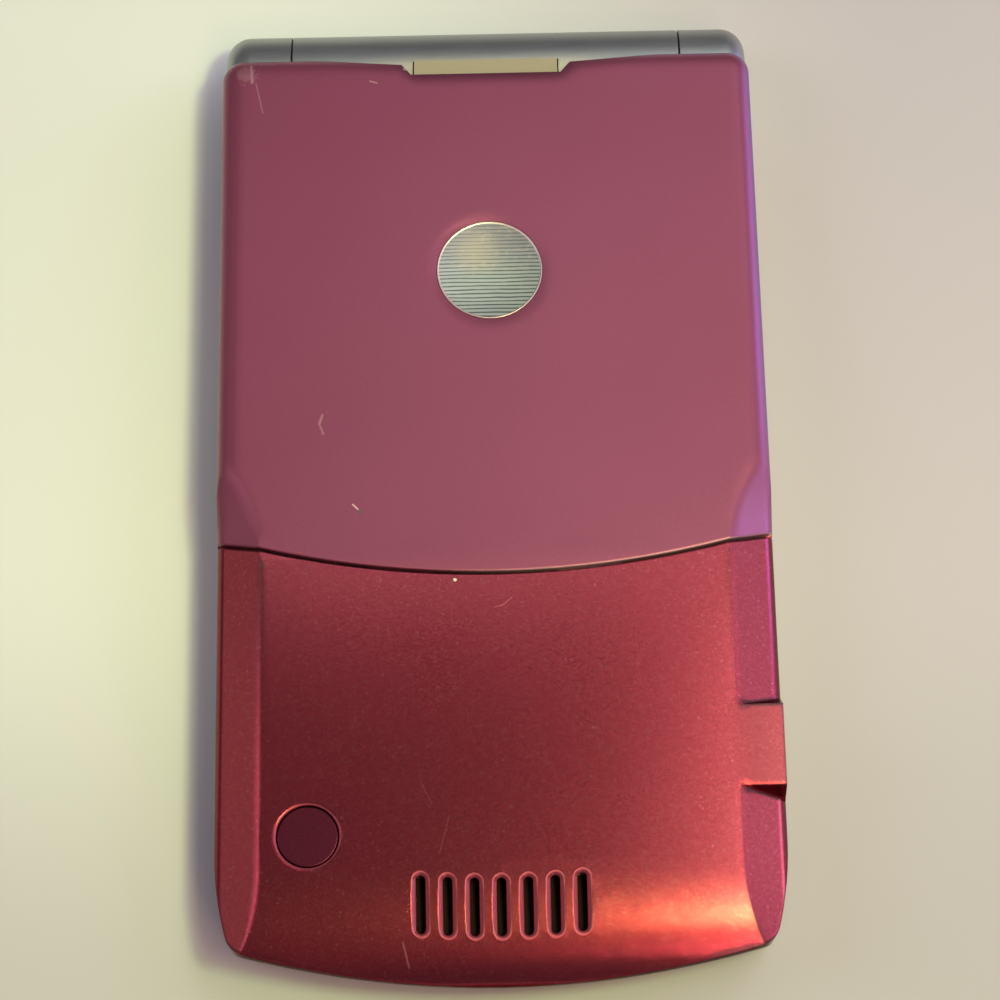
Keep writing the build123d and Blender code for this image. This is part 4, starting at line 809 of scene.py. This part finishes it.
choose_edges(disc, on_outer_edge)
bpy.ops.mesh.bevel(offset=0.05 * MM, segments=3, affect="EDGES")
bpy.ops.mesh.select_all(action="SELECT")
bpy.ops.transform.rotate(value=COVER_SLOPE, orient_axis="X", center_override=DISC_CENTRE * MM)
bpy.ops.object.mode_set(mode="OBJECT")
by_depth = sorted((point.co for point in disc.data.vertices), key=lambda place: place.y)
drop = (by_depth[0].z - by_depth[-1].z) / MM
print("disc's far side is lower by", round(drop, 3), "mm")

# %% [markdown]
# ## Metal of the disc
# The face is brushed in straight lines across the phone, with dust in it and one stain.
# The lines are a wave along Y, made uneven by noise. They are raised a little, so that
# each one catches the light by itself. The turned rim is smoother and warmer. The far side
# of the face is painted darker, a painted shade.

# %% Disc metal
LINE_PITCH = 0.4
FACE_RADIUS = DISC_RADIUS - 0.2
STAIN = Vector((-1.2, 22.2, 13.0)) * MM

disc_metal = Finish("disc_metal", metallic=1.0)


def distance_on_disc(place):
    """The distance from a fixed place, in millimetres."""
    inputs = {0: disc_metal.place, 1: tuple(place)}
    return disc_metal.node("VectorMath", {"operation": "DISTANCE"}, inputs)[1] / MM


disc_y = disc_metal.xyz()[1]
disc_wander = disc_metal.noise(1.0, 2, disc_metal.stretched(220, 900, 1))
disc_wave = disc_y / LINE_PITCH + 0.55 * disc_wander
disc_wave = disc_metal.node("Math", {"operation": "PINGPONG"}, {0: disc_wave, 1: 0.5})[0]
disc_lines = disc_metal.step(disc_wave, 0.06, 0.26) * (0.75 + 0.4 * disc_wander)
disc_dust = disc_metal.step(disc_metal.noise(1500, 3), 0.5, 0.8)
disc_offset = distance_on_disc(DISC_CENTRE * MM)
disc_rim = disc_metal.step(disc_offset, FACE_RADIUS - 0.02, FACE_RADIUS + 0.02)
disc_clean = disc_metal.step(distance_on_disc(STAIN), 0.4, 3.2)
disc_far_shade = disc_metal.step(disc_y, 18, 25)
disc_face = disc_metal.mix(disc_lines, (0.16, 0.20, 0.20), (0.58, 0.62, 0.61))
# Painted shade: the far side of the face is darkened.
disc_face = disc_metal.mix(disc_far_shade * 0.6, disc_face, (0.20, 0.15, 0.24))
disc_face = disc_metal.mix(0.25 * disc_dust, disc_face, (0.70, 0.66, 0.58))
disc_face = disc_metal.mix(0.2 - 0.2 * disc_clean, disc_face, (0.78, 0.60, 0.38))
disc_metal.feed("Base Color", disc_metal.mix(disc_rim, disc_face, (0.66, 0.50, 0.50)))
disc_metal.feed("Roughness", 0.64 + 0.1 * disc_lines - 0.3 * disc_rim)
disc_metal.relief(disc_lines * (1 - disc_rim), 0.010 * MM, 0.6)
complete(disc, "battery_cover", disc_metal)
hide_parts("cover_medallion")
print("disc of radius", round(DISC_RADIUS, 2), "mm in the cover")

# %% [markdown]
# ## Signs on the keypad
# The keys carry printed signs: digits, a star and a hash, a handset on the two call keys,
# arrows on the ring and short bars on the soft keys. The text tool makes the digits, which
# are then turned into meshes. Ink has hardly any thickness, but a sliver of real depth
# keeps it from flickering against the key. The keypad faces down when the phone is shut, so
# each sign is turned over to read from below.

# %% Ink and digits
INK = 0.016  # millimetres of depth
ink_blue = moulded("ink_blue", (0.030, 0.045, 0.075), (0.045, 0.065, 0.10), 0.45, 5200, 0.002)
ink_green = moulded("ink_green", (0.02, 0.20, 0.06), (0.03, 0.26, 0.09), 0.42, 5200, 0.002)
ink_red = moulded("ink_red", (0.32, 0.02, 0.03), (0.42, 0.04, 0.05), 0.42, 5200, 0.002)


def print_sign(sign, key, height, finish=ink_blue):
    """Sets a sign in the middle of a key's face, as a thin mesh that faces down."""
    bpy.ops.object.select_all(action="DESELECT")
    bpy.ops.object.text_add()
    ink = bpy.context.object
    ink.name = f"{key}_sign"
    ink.data.body = sign
    ink.data.align_x = "CENTER"
    ink.data.align_y = "CENTER"
    ink.data.size = height * MM
    ink.data.extrude = INK / 2 * MM
    ink.data.resolution_u = 6
    bpy.ops.object.convert(target="MESH")
    middle = middle_of(key)
    ink.rotation_euler = (0, math.pi, 0)
    ink.location = Vector((middle.x, middle.y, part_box(key)[0][2] / MM - INK / 3)) * MM
    bpy.ops.object.transform_apply(location=True, rotation=True, scale=True)
    complete(ink, key, finish)


DIGIT_HEIGHT = 4.2
for digit in range(10):
    print_sign(str(digit), f"key_{digit}", DIGIT_HEIGHT)
print_sign("*", "key_star", 5.6)
print_sign("#", "key_hash", 3.8)
print("digits printed")

# %% [markdown]
# ## Handsets
# The two call keys carry a telephone handset, green to answer and red to end. A font has no
# such sign, so a small bar is spun into a bow, and the inner faces of its two ends are
# pushed in as the ear and the mouth piece.

# %% Handsets on the call keys
BOW_RADIUS, BOW_WIDTH = 2.7, 0.85
BOW_ARC = math.radians(100)
BOW_STEPS = 12
PIVOT_BELOW = 1.9  # from the key's middle to the middle of the bow's circle
EAR_REACH = 0.75
HANDLE_DEGREES = 24, 76  # the part of the bow between its two ends


def print_handset(key, finish):
    """A bowed handle spun from a small section, with a block pushed in at each end."""
    centre = middle_of(key)
    face_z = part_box(key)[0][2] / MM - INK / 3
    pivot = Vector((centre.x, centre.y - PIVOT_BELOW, face_z))
    piece = begin("cube", f"{key}_sign", pivot + Vector((BOW_RADIUS, 0, 0)), size=1)
    stretch(piece, BOW_WIDTH, 0.02, INK)
    choose_faces(piece, lambda middle, normal: normal.y > 0.9)
    bpy.ops.mesh.spin(steps=BOW_STEPS, angle=BOW_ARC, center=pivot * MM, axis=(0, 0, -1))
    bpy.ops.object.mode_set(mode="OBJECT")

    def inside_an_end(middle, normal):
        spoke = (middle - pivot * MM).xy
        outward = normal.xy.normalized().dot(spoke.normalized())
        inward = normal.xy.length > 0.5 and outward < -0.8
        turned = math.degrees(math.atan2(spoke.y, spoke.x))
        return inward and not HANDLE_DEGREES[0] < turned < HANDLE_DEGREES[1]

    choose_faces(piece, inside_an_end)
    bpy.ops.mesh.extrude_region_move(TRANSFORM_OT_translate={"value": (0, 0, 0)})
    bpy.ops.transform.shrink_fatten(value=EAR_REACH * MM)
    bpy.ops.mesh.select_all(action="SELECT")
    lean = (math.pi - BOW_ARC) / 2
    bpy.ops.transform.rotate(value=-lean, orient_axis="Z", center_override=pivot * MM)
    bpy.ops.object.mode_set(mode="OBJECT")
    heights = [point.co.y / MM - centre.y for point in piece.data.vertices]
    print(key, "handset reaches", round(min(heights), 2), "to", round(max(heights), 2), "mm")
    complete(piece, key, finish)


print_handset("send_key", ink_green)
print_handset("end_key", ink_red)

# %% [markdown]
# ## Arrows and bars
# The ring has an arrow each way, the soft keys a bar, the menu key three bars, the clear key
# an arrow with a tail, and the select key a dot. An arrow is a three-cornered circle, and a
# bar is a cube with its upright edges bevelled, since both have few corners to place.

# %% Arrow and bar helpers


def print_arrow(name, place, body, turned, size):
    """A three-sided plate pointing one way; bevelled corners make it look printed."""
    arrow = begin(
        "circle",
        name,
        place,
        vertices=3,
        radius=size * MM,
        fill_type="NGON",
        rotation=(0, 0, turned),
    )
    bpy.ops.object.mode_set(mode="EDIT")
    bpy.ops.mesh.select_all(action="SELECT")
    bpy.ops.mesh.bevel(offset=0.12 * MM, segments=3, affect="VERTICES")
    bpy.ops.mesh.select_all(action="SELECT")
    bpy.ops.mesh.extrude_region_move(TRANSFORM_OT_translate={"value": (0, 0, INK * MM)})
    bpy.ops.object.mode_set(mode="OBJECT")
    complete(arrow, body, ink_blue)


def print_bar(name, place, body, length, width=0.34):
    """A short bar with rounded ends."""
    bar = begin("cube", name, place, size=1)
    stretch(bar, length, width, INK)
    choose_edges(bar, lambda a, b: abs(a.z - b.z) > INK / 2 * MM)
    bpy.ops.mesh.bevel(offset=width * 0.45 * MM, segments=4, affect="EDGES")
    bpy.ops.object.mode_set(mode="OBJECT")
    complete(bar, body, ink_blue)


print("arrows and bars can be printed")

# %% [markdown]
# ## Signs on the ring and the keys round it
# Each sign rides on its own key, so that it moves with it. An arrow's plate grows up from
# its place and a bar's lies round its place, so a bar starts half an ink layer higher.

# %% Arrows and bars
ARROW_REACH, ARROW_SIZE = 6.5, 0.85
MENU_BAR_PITCH = 0.8
ring_middle = middle_of("navigation_ring")
INK_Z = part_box("navigation_ring")[0][2] / MM - INK * 0.8
BAR_Z = INK_Z + INK / 2
for name, turned, way in (
    ("arrow_up", 0.0, (0, 1)),
    ("arrow_left", math.pi / 2, (-1, 0)),
    ("arrow_down", math.pi, (0, -1)),
    ("arrow_right", -math.pi / 2, (1, 0)),
):
    across, along = (ARROW_REACH * share for share in way)
    place = (ring_middle.x + across, ring_middle.y + along, INK_Z)
    print_arrow(name, place, "navigation_ring", turned, ARROW_SIZE)

for key in ("soft_key_left", "soft_key_right"):
    middle = middle_of(key)
    print_bar(f"{key}_sign", (middle.x, middle.y, BAR_Z), key, 3.4)
menu = middle_of("menu_key")
for row in (-1, 0, 1):
    place = (menu.x, menu.y + MENU_BAR_PITCH * row, BAR_Z)
    print_bar(f"menu_sign_{row + 2}", place, "menu_key", 2.4)
clear = middle_of("clear_key")
print_arrow("clear_sign_head", (clear.x + 1.1, clear.y, INK_Z), "clear_key", -math.pi / 2, 0.8)
print_bar("clear_sign_tail", (clear.x - 0.5, clear.y, BAR_Z), "clear_key", 2.4)
print_bar("select_sign", (ring_middle.x, ring_middle.y, BAR_Z), "select_key", 1.1, 1.0)
print("arrows and bars printed")

# %% [markdown]
# ## Camera ring and lens
# On the flip's outer face the camera looks out near the hinge, through a turned ring with a
# domed lens in it. The ring is an inset cylinder, and the lens is a sphere cut in half and
# flattened. Both face the table while the phone is shut.

# %% Camera ring and lens
RING_RADIUS, RING_WIDTH, RING_DEPTH, RING_STEP = 3.5, 0.55, 0.14, 0.08
camera_middle = middle_of("camera_module")
ring_place = (camera_middle.x, camera_middle.y, 0.10)
ring_shape = {"vertices": 72, "radius": RING_RADIUS * MM, "depth": RING_DEPTH * MM}
camera_ring = begin("cylinder", "camera_ring", ring_place, **ring_shape)
choose_faces(camera_ring, lambda middle, normal: normal.z < -0.9)
bpy.ops.mesh.inset(thickness=RING_WIDTH * MM)
bpy.ops.mesh.inset(thickness=RING_STEP * MM)
bpy.ops.transform.translate(value=(0, 0, RING_STEP * MM))


def on_ring_edge(*ends):
    """Tells the rim's outer corner, which faces the table."""
    offsets = [(end.xy - camera_middle.xy * MM).length / MM for end in ends]
    return min(offsets) > RING_RADIUS - 0.1 and all(end.z < 0.05 * MM for end in ends)


choose_edges(camera_ring, on_ring_edge)
bpy.ops.mesh.bevel(offset=0.04 * MM, segments=2, affect="EDGES")
complete(camera_ring, "flip", turned_steel)

LENS_RADIUS, LENS_FLATNESS, LENS_TOP_Z = 2.6, 0.035, 0.13
lens_place = Vector((camera_middle.x, camera_middle.y, LENS_TOP_Z))
dome = {"segments": 48, "ring_count": 24, "radius": LENS_RADIUS * MM}
lens = begin("uv_sphere", "camera_lens", lens_place, **dome)
bpy.ops.object.mode_set(mode="EDIT")
bpy.ops.mesh.select_all(action="SELECT")
bpy.ops.mesh.bisect(
    plane_co=(0, 0, LENS_TOP_Z * MM), plane_no=(0, 0, 1), use_fill=True, clear_outer=True
)
bpy.ops.mesh.select_all(action="SELECT")
bpy.ops.transform.resize(value=(1, 1, LENS_FLATNESS), center_override=lens_place * MM)
bpy.ops.object.mode_set(mode="OBJECT")
complete(lens, "flip", lens_black)
print("the lens stands", round(LENS_RADIUS * LENS_FLATNESS, 3), "mm out of its ring's base")

# %% [markdown]
# ## Window frame
# The dark window over the small display sits in a thin metal frame. A plane gets round
# corners, is inset, loses its middle and is drawn down, which leaves an even rim.

# %% Window frame
window_low, window_high = (Vector(corner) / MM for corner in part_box("outer_window"))
window_size = window_high - window_low
window_middle = (window_low + window_high) / 2
FRAME_WIDTH, FRAME_DEPTH, FRAME_OUTSIDE, FRAME_CORNER = 0.55, 0.11, 0.06, 5.05
window_frame = begin(
    "plane", "window_frame", (window_middle.x, window_middle.y, window_low.z), size=1
)
stretch(window_frame, window_size.x + 2 * FRAME_OUTSIDE, window_size.y + 2 * FRAME_OUTSIDE, 1)
bpy.ops.object.mode_set(mode="EDIT")
bpy.ops.mesh.select_all(action="SELECT")
bpy.ops.mesh.bevel(offset=FRAME_CORNER * MM, segments=12, affect="VERTICES")
bpy.ops.mesh.select_mode(type="FACE")
bpy.ops.mesh.select_all(action="SELECT")
bpy.ops.mesh.inset(thickness=FRAME_WIDTH * MM)
bpy.ops.mesh.delete(type="FACE")
bpy.ops.mesh.select_all(action="SELECT")
bpy.ops.mesh.extrude_region_move(TRANSFORM_OT_translate={"value": (0, 0, -FRAME_DEPTH * MM)})
bpy.ops.object.mode_set(mode="OBJECT")
choose_edges(window_frame, lambda *ends: all(end.z < (window_low.z - 0.1) * MM for end in ends))
bpy.ops.mesh.bevel(offset=0.03 * MM, segments=2, affect="EDGES")
complete(window_frame, "flip", hinge_metal)
print("window frame", [round(v, 2) for v in window_size])

# %% [markdown]
# ## Contacts
# The charging socket has five gold fingers on its tongue, and the battery has three gold
# pads where the springs press. They are small plates with eased edges, made once and
# copied, each copy with its own mesh.

# %% Gold fingers and pads


def row_of_plates(name, first, step, count, size, body):
    """Makes one eased plate and copies it along a row; places are in millimetres."""
    plate = begin("cube", f"{name}_1", first, size=1)
    stretch(plate, *size)
    bpy.ops.object.mode_set(mode="EDIT")
    bpy.ops.mesh.select_all(action="SELECT")
    bpy.ops.mesh.bevel(offset=min(size) * 0.3 * MM, segments=2, affect="EDGES")
    complete(plate, body, gold_plate)
    for index in range(1, count):
        bpy.ops.object.select_all(action="DESELECT")
        plate.select_set(True)
        bpy.context.view_layer.objects.active = plate
        bpy.ops.object.duplicate()
        copy = bpy.context.object
        copy.name = f"{name}_{index + 1}"
        copy.location = Vector(step) * index * MM
        bpy.ops.object.transform_apply(location=True, rotation=False, scale=False)
        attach(copy, body)


socket_middle = middle_of("charging_socket")
row_of_plates(
    "socket_finger",
    (22.3, socket_middle.y - 1.6, socket_middle.z + 0.41),
    (0, 0.8, 0),
    5,
    (5.6, 0.42, 0.06),
    "keypad_half",
)
battery_low, battery_high = (Vector(corner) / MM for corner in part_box("battery"))
row_of_plates(
    "battery_pad",
    (-4.0, battery_low.y - 0.01, 10.1),
    (4.0, 0, 0),
    3,
    (2.4, 0.05, 1.7),
    "keypad_half",
)
print("gold contacts in place")

# %% [markdown]
# ## Battery label
# The battery is wrapped in a film whose label is bare. The wrap shows as a thin sheet with
# rounded corners, a hair above the cell, and a narrow edge left all round.

# %% Battery label
LABEL_MARGIN, LABEL_CORNER, LABEL_THICKNESS, LABEL_BORDER = 1.2, 1.4, 0.05, 0.9
battery_size = battery_high - battery_low
label = begin(
    "plane",
    "battery_label",
    (0, (battery_low.y + battery_high.y) / 2, battery_high.z - 0.01),
    size=1,
)
stretch(label, battery_size.x - 2 * LABEL_MARGIN, battery_size.y - 2 * LABEL_MARGIN, 1)
bpy.ops.object.mode_set(mode="EDIT")
bpy.ops.mesh.select_all(action="SELECT")
bpy.ops.mesh.bevel(offset=LABEL_CORNER * MM, segments=8, affect="VERTICES")
bpy.ops.mesh.select_mode(type="FACE")
bpy.ops.mesh.select_all(action="SELECT")
bpy.ops.mesh.extrude_region_move(TRANSFORM_OT_translate={"value": (0, 0, LABEL_THICKNESS * MM)})
bpy.ops.mesh.inset(thickness=LABEL_BORDER * MM)
bpy.ops.mesh.inset(thickness=0.12 * MM)
bpy.ops.transform.translate(value=(0, 0, -0.02 * MM))
label_film = moulded("label_film", (0.42, 0.42, 0.41), (0.52, 0.52, 0.51), 0.4, 1500, 0.004, 0.3)
complete(label, "keypad_half", label_film)
print("label on a battery of", [round(v, 1) for v in battery_size], "mm")

# %% [markdown]
# ## Side keys
# The rocker and the two single keys are short bars in the flip's frame, with softened
# edges and a shallow thumb groove. Each takes the place of its plain block, inside the
# same space.

# %% Side keys
SIDE_BORDER, SIDE_EASE = 0.16, 0.14
GROOVE_HALF, GROOVE_DEPTH = 0.2, 0.08


def side_key(node, grooves):
    """A bar with eased edges and a row of shallow grooves across its outer face."""
    low, high = (Vector(corner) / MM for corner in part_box(node))
    outward = 1 if high.x > 0 else -1
    outer_x = high.x if outward > 0 else low.x
    bar = begin("cube", f"{node}_bar", (low + high) / 2, size=1)
    stretch(bar, *(high - low))
    choose_faces(bar, lambda middle, normal: normal.x * outward > 0.9)
    bpy.ops.mesh.inset(thickness=SIDE_BORDER * MM)

    def on_outer_rim(*ends):
        on_face = all(abs(end.x - outer_x * MM) < 0.001 * MM for end in ends)
        within = any((low.y + 0.01) * MM < end.y < (high.y - 0.01) * MM for end in ends)
        return on_face and not within

    choose_edges(bar, on_outer_rim)
    bpy.ops.mesh.bevel(offset=SIDE_EASE * MM, segments=3, affect="EDGES")
    bpy.ops.object.mode_set(mode="OBJECT")
    for place in grooves:
        for shift in (-GROOVE_HALF, GROOVE_HALF):
            bpy.ops.object.mode_set(mode="EDIT")
            bpy.ops.mesh.select_all(action="SELECT")
            bpy.ops.mesh.bisect(plane_co=(0, (place + shift) * MM, 0), plane_no=(0, 1, 0))
            bpy.ops.object.mode_set(mode="OBJECT")
        choose_faces(
            bar,
            lambda middle, normal: normal.x * outward > 0.9
            and abs(middle.y - place * MM) < (GROOVE_HALF - 0.01) * MM
            and abs(middle.z - (low.z + high.z) / 2 * MM) < 0.4 * MM,
        )
        bpy.ops.transform.translate(value=(-GROOVE_DEPTH * outward * MM, 0, 0))
        bpy.ops.object.mode_set(mode="OBJECT")
    complete(bar, node, side_key_paint)
    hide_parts(node)


rocker = middle_of("volume_rocker")
side_key("volume_rocker", [rocker.y - 4.4, rocker.y - 3.6, rocker.y + 3.6, rocker.y + 4.4])
side_key("smart_key", [middle_of("smart_key").y])
side_key("voice_key", [middle_of("voice_key").y])
print("side keys shaped")

# %% [markdown]
# ## The table
# A plain pale table carries the phone. It is a large plane with a faint unevenness, so
# that it isn't a flat field of one colour. Its tone is painted a little darker and more
# violet toward the right and toward the viewer, as painted shade.

# %% Table
bpy.ops.object.select_all(action="DESELECT")
TABLE_SIZE, TABLE_BELOW = 3000.0, 0.02
bpy.ops.mesh.primitive_plane_add(size=TABLE_SIZE * MM, location=(0, 0, -TABLE_BELOW * MM))
table = bpy.context.object
table.name = "table"
bpy.ops.object.transform_apply(location=True, rotation=False, scale=True)
table_top = Finish("table_top")
table_cloud = table_top.noise(12, 3)
table_x, table_y, _ = table_top.xyz()
# Painted shade: the table darkens toward the right and toward the viewer.
table_side_shade = table_top.step(table_x, -35, 45)
table_near_shade = table_top.step(0 - table_y, 0, 50)
table_tone = table_top.mix(table_side_shade, (0.77, 0.77, 0.785), (0.475, 0.415, 0.50))
table_tone = table_top.mix(table_near_shade * 0.5, table_tone, (0.25, 0.213, 0.29))
table_top.feed("Base Color", table_top.mix(table_cloud * 0.08, table_tone, (0.60, 0.57, 0.54)))
table_top.feed("Roughness", 0.45 + 0.1 * table_cloud)
dress(table_top, table)
print("table", [round(v, 2) for v in table.dimensions], "metres")
